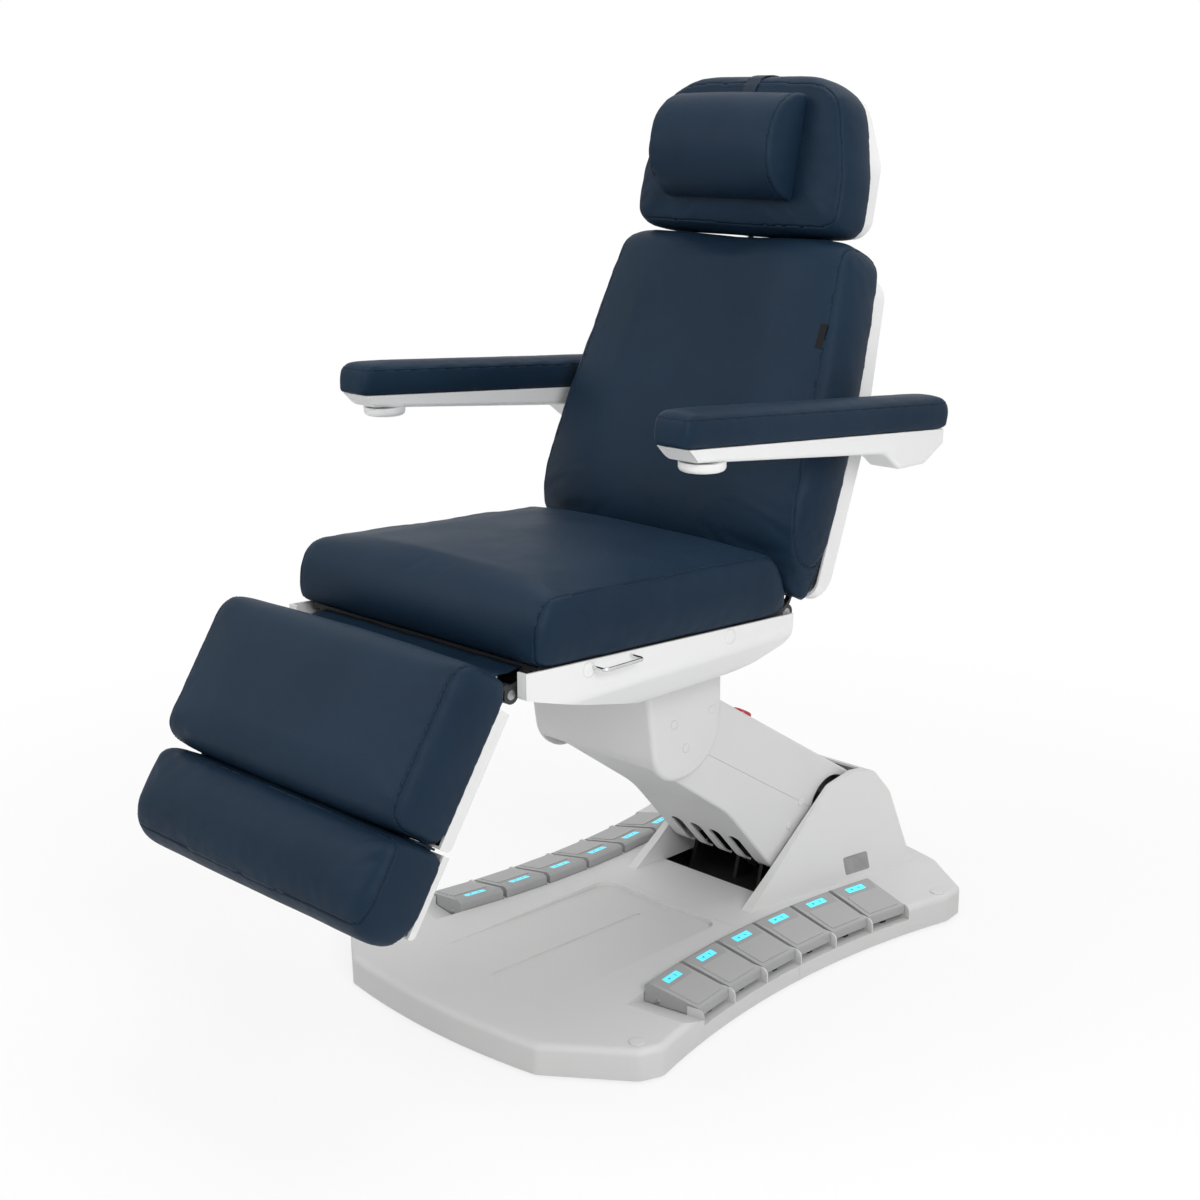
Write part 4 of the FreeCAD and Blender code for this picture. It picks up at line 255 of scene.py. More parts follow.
@dataclass(frozen=True)
class Moulding:
    """Moulded or lacquered plastic with a fine skin, and painted shade below a range of heights if one is
    given.
    """

    name: str
    colour: Colour
    shade: float = 0.93
    rough: float = 0.34
    skin: float = 700.0
    depth: float = 0.00012
    coat: float = 0.0
    painted_shade_below: Optional[tuple[float, float]] = None

    def material(self) -> Material:
        """Build the finish.

        Returns:
            The material.
        """
        s = Surface(self.name)
        cloud = s.spread(s.noise(3.0, 4.0), 0.25, 0.75)
        skin = s.noise(self.skin, 3.0)
        scuff = s.spread(s.noise(4.0, 6.0, 0.7, s.stretched((40.0, 6.0, 40.0))), 0.62, 0.8)
        low = tuple(part * self.shade for part in self.colour)
        tone = cloud - scuff * 0.35
        if self.painted_shade_below:
            # Painted shade: the colour is darker below the given heights, in the deck's tray and grooves,
            # where shade falls.
            height = s.node("ShaderNodeSeparateXYZ", None, {0: s.place}, out="Z")
            tone = 0.66 + tone * 0.34 - (1.0 - s.spread(height, *self.painted_shade_below)) * 0.75
        s.feed(Base_Color=s.blend(tone, low, self.colour),
               Roughness=self.rough + cloud * 0.05 + skin * 0.06 + scuff * 0.08,
               IOR=1.49, Coat_Weight=self.coat, Coat_Roughness=0.2)
        s.relief(skin * 0.8 + scuff * 0.2, 0.25, self.depth)
        return s.material


@dataclass(frozen=True)
class Metal:
    """Bare, plated or painted metal with fine drawn lines."""

    name: str
    colour: Colour
    rough: float = 0.25
    metallic: float = 1.0
    drawn: Point = (20.0, 900.0, 900.0)

    def material(self) -> Material:
        """Build the finish.

        Returns:
            The material.
        """
        s = Surface(self.name)
        lines = s.noise(1.0, 4.0, 0.6, s.stretched(self.drawn))
        stain = s.spread(s.noise(30.0, 4.0), 0.4, 0.8)
        low = tuple(part * 0.8 for part in self.colour)
        s.feed(Base_Color=s.blend(stain, self.colour, low), Metallic=self.metallic,
               Roughness=self.rough + lines * 0.12 + stain * 0.08)
        s.relief(lines, 0.12, 0.0001)
        return s.material


@dataclass(frozen=True)
class GlowFilm:
    """Label film in its cyan print colour, with emission that paints a glow on it, and a little grain."""

    name: str
    colour: Colour
    strength: float

    def material(self) -> Material:
        """Build the finish.

        Returns:
            The material.
        """
        s = Surface(self.name)
        grain = s.noise(900.0, 2.0)
        glow = s.blend(grain, tuple(part * 0.85 for part in self.colour), self.colour)
        # Emission paints a glow on the film; it is no lamp.
        s.feed(Base_Color=glow, Roughness=0.35 + grain * 0.1, Emission_Color=glow,
               Emission_Strength=self.strength)
        return s.material


class Palette:
    """All finishes of the chair, made once."""

    def __init__(self) -> None:
        """Build every material and dress the CAD nodes by their slots."""
        self.vinyl = Vinyl().material()
        self.thread = Vinyl("navy_thread", (0.010, 0.017, 0.030), (0.03, 0.045, 0.068), 1800.0).material()
        self.white = Moulding("white_shell", (0.80, 0.805, 0.80), 0.96, 0.26, 420.0, 0.00008, 0.25).material()
        # The grey cover carries painted shade below deck height, in its tray and grooves.
        self.cover = Moulding("grey_cover", (0.68, 0.682, 0.678), 0.84, 0.42, 1300.0, 0.00016,
                              painted_shade_below=(0.046, 0.0597)).material()
        self.pedal = Moulding("pedal_grey", (0.37, 0.372, 0.372), 0.9, 0.48, 1500.0, 0.0002).material()
        # Lighter copy of the pedal grey: painted highlight for the upward faces of the pedal pads.
        self.painted_highlight = Moulding("pedal_painted_highlight", (0.43, 0.432, 0.43), 0.93, 0.44, 1800.0, 0.00025).material()
        self.red = Moulding("stop_red", (0.48, 0.010, 0.022), 0.85, 0.28, 500.0, 0.00006, 0.3).material()
        self.black = Moulding("black_plastic", (0.012, 0.012, 0.013), 0.8, 0.5, 1200.0, 0.0002).material()
        self.rubber = Moulding("foot_rubber", (0.016, 0.016, 0.016), 0.8, 0.7, 900.0, 0.0003).material()
        self.plate = Metal("badge_plate", (0.33, 0.33, 0.33), 0.36).material()
        self.chrome = Metal("chrome", (0.72, 0.72, 0.72), 0.08, 1.0, (60.0, 60.0, 60.0)).material()
        self.steel = Metal("brushed_steel", (0.45, 0.45, 0.45), 0.28).material()
        self.frame_paint = Metal("frame_paint", (0.02, 0.02, 0.022), 0.42, 0.0, (80.0, 80.0, 80.0)).material()
        self.aluminium = Metal("hub_aluminium", (0.62, 0.62, 0.62), 0.3).material()
        # Label films: cyan print with a painted glow.
        self.label = GlowFilm("glow_painted_label", (0.10, 0.72, 0.86), 0.62).material()
        self.mark = Moulding("label_mark", (0.02, 0.18, 0.24), 0.9, 0.4, 900.0).material()
        self.tag = Vinyl("woven_tag", (0.004, 0.004, 0.005), (0.012, 0.012, 0.013), 900.0).material()
        by_slot = {
            "upholstery": self.vinyl, "white_shell": self.white, "grey_cover": self.cover,
            "steel_frame": self.frame_paint, "chrome": self.chrome, "pedal_grey": self.pedal,
            "stop_red": self.red, "rubber": self.rubber, "black_plastic": self.black,
            "brushed_steel": self.steel, "hub_aluminium": self.aluminium,
        }
        for entry in frame["record"]["subparts"]:
            node = frame["nodes"][entry["node"]]
            node.data.materials.clear()
            node.data.materials.append(by_slot[entry["material_slot"]])


class Piece:
    """Helpers that turn a bmesh into a piece of the chair."""

    cap_sides = 40
    cap_bead = 0.18
    crown_inset = 0.5
    crown_rise = 0.12
    corner_steps = 4

    @staticmethod
    def link(name: str, data: bpy.types.ID) -> Object:
        """Put a mesh, camera or lamp into the scene.

        Args:
            name: Name of the new object.
            data: What it holds.

        Returns:
            The new object.
        """
        obj = bpy.data.objects.new(name, data)
        bpy.context.scene.collection.objects.link(obj)
        return obj

    @staticmethod
    def from_bmesh(bm: BMesh, name: str, material: Material, body: Optional[str],
                   slot: str, smooth: bool = True) -> Object:
        """Write a bmesh to a new object.

        Args:
            bm: The finished bmesh; it is freed.
            name: Name of the piece.
            material: Its finish.
            body: The CAD body it rides on, if it rides on one alone.
            slot: The record's material slot; not used.
            smooth: Whether faces are shaded smooth; flat ones are turned outwards here.

        Returns:
            The new object.
        """
        mesh = bpy.data.meshes.new(name)
        if not smooth:
            bmesh.ops.recalc_face_normals(bm, faces=bm.faces)
        for face in bm.faces:
            face.smooth = smooth
        bm.to_mesh(mesh)
        bm.free()
        mesh.materials.append(material)
        obj = Piece.link(name, mesh)
        if body:
            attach(obj, body)
        LOG.info("%s: %d faces on %s", name, len(mesh.polygons), body or "two bodies")
        return obj

    @staticmethod
    def cap(radius: float, height: float, place: Matrix) -> BMesh:
        """Shape a low round cap with a rolled edge.

        Args:
            radius: Radius of the cap.
            height: How far it stands proud.
            place: Matrix whose Z points away from the surface.

        Returns:
            A new bmesh that holds it.
        """
        bm = bmesh.new()
        made = bmesh.ops.create_circle(bm, cap_ends=True, segments=Piece.cap_sides, radius=radius)
        ring = [made["verts"][0].link_faces[0]]
        bead = Piece.cap_bead
        steps = ((0.0, height * (1 - bead)), (radius * bead, height * bead),
                 (radius * Piece.crown_inset, height * Piece.crown_rise))
        for inset, rise in steps:
            if inset:
                bmesh.ops.inset_region(bm, faces=ring, thickness=inset, use_even_offset=True)
            else:
                ring = [g for g in bmesh.ops.extrude_face_region(bm, geom=ring)["geom"]
                        if isinstance(g, BMFace)]
            bmesh.ops.translate(bm, verts=list({v for f in ring for v in f.verts}), vec=(0, 0, rise))
        bmesh.ops.transform(bm, matrix=place, verts=bm.verts)
        bmesh.ops.recalc_face_normals(bm, faces=bm.faces)
        return bm

    @staticmethod
    def slab(size: Point, place: Matrix, corner: float) -> BMesh:
        """Shape a thin plate with rounded corners that stands on its place.

        Args:
            size: Length, width and thickness.
            place: Matrix of the middle of its underside.
            corner: Radius of its upright corners.

        Returns:
            A new bmesh that holds it.
        """
        bm = bmesh.new()
        lift = Matrix.Translation((0, 0, size[2] / 2)) @ Matrix.Diagonal((*size, 1.0))
        bmesh.ops.create_cube(bm, size=1.0, matrix=lift)
        uprights = [e for e in bm.edges if abs(e.verts[0].co.z - e.verts[1].co.z) > size[2] / 2]
        bmesh.ops.bevel(bm, geom=uprights, offset=corner, offset_type="OFFSET", segments=Piece.corner_steps,
                        profile=0.5, affect="EDGES", material=-1)
        bmesh.ops.transform(bm, matrix=place, verts=bm.verts)
        return bm

    @staticmethod
    def sweep(bm: BMesh, line: list[BMVert], lanes: int, width: float) -> None:
        """Widen a line into a strip along X.

        Args:
            bm: Where the line lies.
            line: Its vertices in order.
            lanes: Number of equal lanes.
            width: Width of the whole strip.
        """
        geom: list = [bm.edges.new(pair) for pair in zip(line, line[1:])]
        for _ in range(lanes):
            made = bmesh.ops.extrude_edge_only(bm, edges=geom)["geom"]
            fresh = [g for g in made if isinstance(g, BMVert)]
            bmesh.ops.translate(bm, verts=fresh, vec=(width / lanes, 0, 0))
            geom = [g for g in made if isinstance(g, BMEdge) and set(g.verts) <= set(fresh)]

    @staticmethod
    def cast(obj: Object, start: Vector, aim: Vector) -> Optional[tuple[Vector, Vector]]:
        """Send a ray onto an object.

        Args:
            obj: The object.
            start: Where the ray starts.
            aim: Which way it goes.

        Returns:
            The point it meets and the normal there, if it meets the object.
        """
        bpy.context.view_layer.update()
        hit, point, normal, _ = obj.ray_cast(start, aim.normalized())
        return (point, normal) if hit else None


@dataclass(frozen=True)
class Seam:
    """A sewn seam where a plane cuts the cover."""

    point: Point
    normal: Point
    depth: float = 0.0030
    width: float = 0.0038
    stitch_side: float = 1.0


@dataclass
class Cushion:
    """One upholstered form that stands for a CAD cushion."""

    node: str
    body: str
    base: Point
    seams: Sequence[Seam] = ()
    voxel: float = 0.010
    swell: float = 0.006
    fill: float = 0.8
    stitch_pitch: float = 0.0062
    stitch_share: float = 0.40
    stitch_flat: Point = (1.0, 0.28, 0.24)
    stitch_lift: float = 0.0001
    shortest_loop: int = 30
    uneven: float = 0.0012
    slow_waves: float = 9.0
    quick_waves: float = 46.0
    quick_share: float = 0.8
    pull_reach: float = 0.045
    under_grip: float = 0.6
    held_grip: float = 0.7
    held_voxels: float = 0.55
    crisp_reach: float = 0.045
    crisp_fade: float = 0.020
    smooth_rounds: int = 4
    smooth_share: float = 0.5
    cloth_frames: int = 20
    cloth_quality: int = 4
    cloth_pressure: float = 4.0

    def build(self, palette: Palette) -> None:
        """Make the cushion, its seams and its stitches.

        Args:
            palette: The finishes.
        """
        obj = self._blank()
        self._remesh(obj)
        self._inflate(obj)
        self._refine(obj)
        self._pucker(obj)
        paths = self._sew(obj)
        obj.data.materials.clear()
        obj.data.materials.append(palette.vinyl)
        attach(obj, self.body)
        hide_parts(self.node)
        LOG.info("%s: %d faces on %s", obj.name, len(obj.data.polygons), self.body)
        if paths:
            self._stitch(paths, palette)

    def _blank(self) -> Object:
        """Copy the CAD form.

        Returns:
            A new object with the closed form.
        """
        bm = bmesh.new()
        bm.from_mesh(frame["nodes"][self.node].data)
        bmesh.ops.remove_doubles(bm, verts=bm.verts, dist=WELD)
        mesh = bpy.data.meshes.new(self.node + "_cover")
        bm.to_mesh(mesh)
        bm.free()
        return Piece.link(mesh.name, mesh)

    @staticmethod
    def _bake(obj: Object) -> None:
        """Apply all modifiers of an object to its mesh.

        Args:
            obj: The object.
        """
        graph = bpy.context.evaluated_depsgraph_get()
        mesh = bpy.data.meshes.new_from_object(obj.evaluated_get(graph))
        obj.modifiers.clear()
        obj.data = mesh

    def _remesh(self, obj: Object) -> None:
        """Even out the mesh and soften it.

        Args:
            obj: The cover.
        """
        remesh = obj.modifiers.new("even", "REMESH")
        remesh.mode = "VOXEL"
        remesh.voxel_size = self.voxel
        self._bake(obj)
        bm = bmesh.new()
        bm.from_mesh(obj.data)
        for _ in range(self.smooth_rounds):
            bmesh.ops.smooth_vert(bm, verts=bm.verts, factor=self.smooth_share, use_axis_x=True,
                                  use_axis_y=True, use_axis_z=True)
        self._crisp_base(bm)
        bm.to_mesh(obj.data)
        bm.free()

    def _crisp_base(self, bm: BMesh) -> None:
        """Bring the cover's lower edge back onto the form, so that it meets the shell below it.

        Args:
            bm: The cover's bmesh.
        """
        down = Vector(self.base)
        form = frame["nodes"][self.node]
        lowest = max(vertex.co.dot(down) for vertex in bm.verts)
        for vertex in bm.verts:
            height = lowest - vertex.co.dot(down)
            share = min(1.0, max(0.0, (self.crisp_reach - height) / self.crisp_fade))
            if share:
                found, spot, _, _ = form.closest_point_on_mesh(vertex.co)
                if found:
                    vertex.co = vertex.co.lerp(spot, share)

    def _held(self, obj: Object) -> list[int]:
        """Find what the filling can't push out: the flat base and the seams.

        Args:
            obj: The cover.

        Returns:
            Indices of the held vertices.
        """
        down = Vector(self.base)
        held = []
        for vertex in obj.data.vertices:
            on_base = vertex.normal.dot(down) > self.held_grip
            on_seam = any(abs((vertex.co - Vector(s.point)).dot(Vector(s.normal).normalized()))
                          < self.voxel * self.held_voxels for s in self.seams)
            if on_base or on_seam:
                held.append(vertex.index)
        return held

    def _inflate(self, obj: Object) -> None:
        """Swell the cover by a short cloth simulation and keep each point within a cap.

        Args:
            obj: The cover.
        """
        rest = [v.co.copy() for v in obj.data.vertices]
        group = obj.vertex_groups.new(name="held")
        group.add(self._held(obj), 1.0, "REPLACE")
        cloth = obj.modifiers.new("cloth", "CLOTH")
        cloth.settings.quality = self.cloth_quality
        cloth.settings.use_pressure = True
        cloth.settings.uniform_pressure_force = self.cloth_pressure
        cloth.settings.effector_weights.gravity = 0.0
        cloth.settings.vertex_group_mass = "held"
        cloth.point_cache.frame_start = 1
        cloth.point_cache.frame_end = self.cloth_frames
        scene = bpy.context.scene
        for number in range(1, self.cloth_frames + 1):
            scene.frame_set(number)
        self._bake(obj)
        scene.frame_set(1)
        for vertex, start in zip(obj.data.vertices, rest):
            move = vertex.co - start
            if move.length > self.swell:
                vertex.co = start + move.normalized() * self.swell
        obj.vertex_groups.clear()

    def _refine(self, obj: Object) -> None:
        """One subdivision, so that seams have room.

        Args:
            obj: The cover.
        """
        finer = obj.modifiers.new("finer", "SUBSURF")
        finer.levels = 1
        finer.render_levels = 1
        self._bake(obj)

    def _pucker(self, obj: Object) -> None:
        """Give the cover slow unevenness and short puckers beside its seams.

        Args:
            obj: The cover.
        """
        planes = [(Vector(s.point), Vector(s.normal).normalized()) for s in self.seams]
        down = Vector(self.base)
        spots = [(vertex.co.copy(), vertex.normal.copy()) for vertex in obj.data.vertices]
        moved: list[float] = []
        for spot, away in spots:
            if away.dot(down) < self.under_grip:
                near = min((abs((spot - point).dot(normal)) for point, normal in planes), default=1.0)
                pull = max(0.0, 1.0 - near / self.pull_reach)
                quick = noise.noise(spot * self.quick_waves) * pull * self.quick_share
                rise = noise.noise(spot * self.slow_waves) + quick
                spot = spot + away * (rise * self.uneven)
            moved.extend(spot)
        obj.data.vertices.foreach_set("co", moved)
        obj.data.update()

    def _sew(self, obj: Object) -> list[Path]:
        """Cut the seams into the cover and draw their middle in.

        Args:
            obj: The cover.

        Returns:
            For each seam loop, points with normals along the row of stitches beside it.
        """
        bm = bmesh.new()
        bm.from_mesh(obj.data)
        paths = []
        for seam in self.seams:
            normal = Vector(seam.normal).normalized()
            point = Vector(seam.point)
            for offset in (-seam.width, 0.0, seam.width):
                bmesh.ops.bisect_plane(bm, geom=bm.verts[:] + bm.edges[:] + bm.faces[:], dist=CUT,
                                       plane_co=point + normal * offset, plane_no=normal)
            bm.normal_update()
            middle = [v for v in bm.verts if abs((v.co - point).dot(normal)) < IN_PLANE]
            for vertex in middle:
                vertex.co -= vertex.normal * seam.depth
            row = point + normal * seam.width * seam.stitch_side
            paths += self._loops(bm, row, normal)
        bm.normal_update()
        for face in bm.faces:
            face.smooth = True
        bm.to_mesh(obj.data)
        bm.free()
        return paths

    def _loops(self, bm: BMesh, point: Vector, normal: Vector) -> list[Path]:
        """Ordered points and normals of the edge loops that lie in a plane.

        Args:
            bm: The cover's bmesh.
            point: A point of the plane.
            normal: The plane's normal.

        Returns:
            The loops.
        """
        inside = {v for v in bm.verts if abs((v.co - point).dot(normal)) < IN_PLANE}
        links = {v: [e.other_vert(v) for e in v.link_edges if e.other_vert(v) in inside] for v in inside}
        loops = []
        while links:
            start = min(links, key=lambda v: (round(v.co.y, 6), round(v.co.z, 6), round(v.co.x, 6)))
            chain, here = [start], start
            nexts = links.pop(start)
            while True:
                step = [v for v in nexts if v in links]
                if not step:
                    break
                here = step[0]
                chain.append(here)
                nexts = links.pop(here)
            if len(chain) > self.shortest_loop:
                loops.append([(v.co.copy(), v.normal.copy()) for v in chain])
        return loops

    def _stitch(self, paths: list[Path], palette: Palette) -> None:
        """Lay a row of short threads along each path.

        Args:
            paths: Points with normals.
            palette: The finishes.
        """
        bm = bmesh.new()
        down = Vector(self.base)
        flat = Matrix.Diagonal((*self.stitch_flat, 1.0))
        for path in paths:
            run = 0.0
            due = 0.0
            for (a, na), (b, nb) in zip(path, path[1:]):
                span = (b - a).length
                while due <= run + span and span > 1e-9:
                    share = (due - run) / span
                    spot = a.lerp(b, share)
                    away = na.lerp(nb, share).normalized()
                    due += self.stitch_pitch
                    if away.dot(down) > self.under_grip:
                        continue
                    along = (b - a).normalized()
                    cross = away.cross(along).normalized()
                    place = axes_at(spot + away * self.stitch_lift, along, cross, away)
                    bmesh.ops.create_icosphere(bm, subdivisions=1, matrix=place @ flat,
                                               radius=self.stitch_pitch * self.stitch_share)
                run += span
        Piece.from_bmesh(bm, self.node + "_stitches", palette.thread, self.body, "upholstery")


@dataclass
class Upholstery:
    """All cushions of the chair."""

    back_lean: float = 68.0
    head_rise: float = 78.0
    leg_fall: float = 56.5
    seat_tilt: float = 2.7
    pad_tilt: float = 4.2
    back_hinge: Point = (0, 0.217, 0.690)
    head_base: Point = (0, 0.4476, 1.3233)
    leg_hinge: Point = (0, -0.453, 0.690)
    pad_base: Point = (0, 0.473, 1.007)
    back_middle: float = 0.33
    head_seam: float = 0.0845
    foot_seam: float = 0.122
    pad_seam: float = 0.0445
    seat_reach: float = 0.2925
    back_reach: float = 0.290
    back_taper: float = 0.10
    calf_reach: float = 0.290
    pillow_reach: float = 0.1375

    def cushions(self) -> list[Cushion]:
        """List the cushions with their seams.

        Returns:
            The cushions.
        """
        along_back, out_back = slope(self.back_lean)
        out_head, out_leg, out_seat, pad_up = (slope(turn)[1] for turn in (
            self.head_rise, self.leg_fall, -self.seat_tilt, -self.pad_tilt))
        mid_back = Vector(self.back_hinge) + along_back * self.back_middle
        head_face = Vector(self.head_base) + out_head * self.head_seam
        foot_face = Vector(self.leg_hinge) + out_leg * self.foot_seam
        pad_edge = Vector(self.pad_base) + pad_up * self.pad_seam

        def side_seams(reach: float, middle: Vector = Vector(), taper: Vector = Vector()) -> list[Seam]:
            """Seams along both side panels."""
            return [Seam(tuple(middle + Vector((side.value * reach, 0, 0))),
                         tuple(Vector((side.value, 0, 0)) + taper), stitch_side=-1.0) for side in Side]

        def face_seam(point: Vector, normal: Vector, *sizes: float) -> list[Seam]:
            """One seam all round a face."""
            return [Seam(tuple(point), tuple(normal), *sizes)]

        made = [
            Cushion("seat_cushion", "seat", tuple(-out_seat), side_seams(self.seat_reach)),
            Cushion("back_cushion", "back", tuple(-out_back),
                    side_seams(self.back_reach, mid_back, along_back * self.back_taper)),
            Cushion("head_cushion", "head_rest", tuple(-out_head), face_seam(head_face, out_head),
                    voxel=0.008),
            Cushion("calf_cushion", "leg_rest", tuple(-out_leg), side_seams(self.calf_reach), voxel=0.009),
            Cushion("foot_cushion", "foot_rest", tuple(-out_leg), face_seam(foot_face, out_leg), voxel=0.008),
            Cushion("head_pillow", "head_rest", tuple(-out_head), side_seams(self.pillow_reach), voxel=0.006,
                    swell=0.004),
        ]
        for side in Side:
            made.append(Cushion(f"armrest_pad_{side.word}", f"armrest_{side.word}", tuple(-pad_up),
                                face_seam(pad_edge, pad_up, 0.0014, 0.0022), voxel=0.006, swell=0.002,
                                uneven=0.0005))
        return made

    def build(self, palette: Palette) -> None:
        """Make every cushion.

        Args:
            palette: The finishes.
        """
        for cushion in self.cushions():
            cushion.build(palette)


@dataclass
class HingeFlap:
    """Vinyl flap that bridges the gap between seat and calf rest."""

    half_width: float = 0.245
    thickness: float = 0.0016
    profile: Sequence[tuple[float, float]] = (
        (-0.4080, 0.7210), (-0.4200, 0.7195), (-0.4330, 0.7165), (-0.4450, 0.7175), (-0.4580, 0.7182),
        (-0.4690, 0.7142), (-0.4770, 0.7060), (-0.4805, 0.6965),
    )
    lanes: int = 48
    ripple: float = 0.0009
    ripple_waves: tuple[float, float] = (61.0, 23.0)
    bend_start: Point = (0, -0.445, 0.712)
    bend_end: Point = (0, -0.481, 0.696)

    def build(self, palette: Palette) -> None:
        """Make the flap as one bent sheet across the hinge.

        Args:
            palette: The finishes.
        """
        bm = bmesh.new()
        line = [bm.verts.new((-self.half_width, y, z)) for y, z in self.profile]
        Piece.sweep(bm, line, self.lanes, self.half_width * 2)
        for vertex in bm.verts:
            quick, slow = (vertex.co.x * wave for wave in self.ripple_waves)
            vertex.co.z += self.ripple * (math.sin(quick) * math.sin(slow + 1.0))
        bmesh.ops.recalc_face_normals(bm, faces=bm.faces)
        bmesh.ops.solidify(bm, geom=bm.faces[:], thickness=self.thickness)
        obj = Piece.from_bmesh(bm, "leg_flap_sheet", palette.vinyl, None, "upholstery")
        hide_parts("leg_flap")
        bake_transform(obj)


@dataclass
class FootLip:
    """Vinyl lip on the near end of the foot cushion that closes the slit to the calf cushion."""

    along: float = 0.261
    low: float = 0.021
    width: float = 0.560
    height: float = 0.052
    thickness: float = 0.0036
    corner: float = 0.012

    def build(self, palette: Palette) -> None:
        """Make the lip.

        Args:
            palette: The finishes.
        """
        up_leg, out = slope(Upholstery.leg_fall)
        down_leg = -up_leg
        middle = (Vector(Upholstery.leg_hinge) + down_leg * (self.along - self.thickness / 2)
                  + out * (self.low + self.height / 2))
        across = Vector((1, 0, 0))
        place = axes_at(middle, across, down_leg.cross(across), down_leg)
        bm = Piece.slab((self.width, self.height, self.thickness), place, self.corner)
        lip = Piece.from_bmesh(bm, "foot_lip", palette.vinyl, "foot_rest", "upholstery", False)


class Mark(Enum):
    """Generic signs on the pedal labels, as turns of an arrow in degrees."""

    UP = 0.0
    DOWN = 180.0
    LEANING_UP = 45.0
    LEANING_DOWN = 225.0


@dataclass
class PedalLabels:
    """Label films with a painted glow, and pin heads of the two pedal rows."""

    count: int = 6
    arc_radius: float = 1.775
    arc_centre_x: float = 1.989
    row_y: float = 0.204
    pitch: float = 3.516
    crest: float = 0.008
    length: float = 0.112
    inner_top: float = 0.080
    outer_top: float = 0.060
    inner_half: float = 0.050
    film_start: float = 0.0172
    film: Point = (0.0155, 0.0455, 0.0008)
    sunk: float = 0.0009
    film_corner: float = 0.0012
    bar: Point = (0.0062, 0.0016, 0.0002)
    bar_corner: float = 0.0003
    sign_out: float = 0.009
    arrow_radius: float = 0.0032
    pin_radius: float = 0.0042
    pin_height: float = 0.0014
    pin_sunk: float = 0.0004
    pad_start: float = 0.041
    pad_level: float = 0.9
    hinge_in: float = 0.028
    hinge_z: float = 0.050

    def build(self, palette: Palette) -> None:
        """Make the films, their signs and the pin heads.

        Args:
            palette: The finishes.
        """
        signs = (Mark.UP, Mark.DOWN, Mark.LEANING_UP, Mark.LEANING_DOWN, Mark.UP, Mark.DOWN)
        for side in Side:
            for index, sign in enumerate(signs):
                self._film(side, index, sign, palette)
                # Painted highlight on the tops of the pedal pads.
                self._painted_highlight(side, index, palette)
            self._pin_head(side, palette)

    def _row_place(self, side: Side, index: int) -> Matrix:
        """Find a pedal's inner end.

        Args:
            side: The row.
            index: The pedal's number in the row.

        Returns:
            Matrix whose X points outwards along the pedal.
        """
        angle = math.radians((index - (self.count - 1) / 2) * self.pitch)
        x = self.arc_centre_x - self.arc_radius * math.cos(angle)
        y = self.row_y + self.arc_radius * math.sin(angle)
        place = Matrix.Translation((x, y, 0)) @ Matrix.Rotation(-angle, 4, "Z")
        return Matrix.Diagonal((side.value, 1, 1, 1)) @ place

    def _painted_highlight(self, side: Side, index: int, palette: Palette) -> None:
        """Paint a highlight on the upward faces of one pedal's raised pad, with a lighter copy of the pedal
        grey.

        Args:
            side: The row.
            index: The pedal's number in the row.
            palette: The finishes.
        """
        mesh = frame["nodes"][f"pedal_{side.word}_{index + 1}"].data
        mesh.materials.append(palette.painted_highlight)
        inward = self._row_place(side, index).inverted()
        # Only upward faces of the raised pad get the lighter grey: painted highlight where light falls on the
        # tops.
        for face in mesh.polygons:
            if face.normal.z > self.pad_level and (inward @ face.center).x > self.pad_start:
                face.material_index = 1

    def _film(self, side: Side, index: int, sign: Mark, palette: Palette) -> None:
        """Make one label film with its sign.

        Args:
            side: The row.
            index: The pedal's number in the row.
            sign: The arrow on it.
            palette: The finishes.
        """
        fall = (self.inner_top - self.outer_top) / (self.length - self.crest)
        middle = self.film_start + self.film[0] / 2
        level = self.inner_top - (middle - self.crest) * fall - self.sunk
        place = (self._row_place(side, index) @ Matrix.Translation((middle, 0, level))
                 @ Matrix.Rotation(math.atan(fall), 4, "Y"))
        body = f"pedal_{side.word}_{index + 1}"
        bm = Piece.slab(self.film, place, self.film_corner)
        Piece.from_bmesh(bm, body + "_label", palette.label, body, "pedal_grey", False)
        top = place @ Matrix.Translation((0, 0, self.film[2]))
        turn = Matrix.Rotation(math.radians(sign.value), 4, "Z")
        bm = Piece.slab(self.bar, top @ Matrix.Translation((0, self.sign_out, 0)) @ turn, self.bar_corner)
        arrow_place = top @ Matrix.Translation((0, -self.sign_out, self.bar[2] / 2)) @ turn
        arrow = bmesh.ops.create_circle(bm, cap_ends=True, segments=3, radius=self.arrow_radius,
                                        matrix=arrow_place)
        faces = list({f for v in arrow["verts"] for f in v.link_faces})
        made = bmesh.ops.extrude_face_region(bm, geom=faces)["geom"]
        raised = [g for g in made if isinstance(g, BMVert)]
        bmesh.ops.translate(bm, verts=raised, vec=(0, 0, self.bar[2]))
        Piece.from_bmesh(bm, body + "_sign", palette.mark, body, "pedal_grey", False)

    def _pin_head(self, side: Side, palette: Palette) -> None:
        """Make the steel head of the row's first pin, on the first pedal's front face.

        Args:
            side: The row.
            palette: The finishes.
        """
        face = Matrix.Translation((self.hinge_in, -self.inner_half + self.pin_sunk, self.hinge_z))
        place = self._row_place(side, 0) @ face @ Matrix.Rotation(math.radians(90), 4, "X")
        Piece.from_bmesh(Piece.cap(self.pin_radius, self.pin_height, place), f"pedal_{side.word}_pin_head",
                         palette.steel, f"pedal_{side.word}_1", "brushed_steel")


@dataclass(frozen=True)
class CapSpot:
    """One round cap on a cover: where it sits, which way it faces and how large it is."""

    point: Point
    normal: Point
    radius: float
    height: float
    body: str


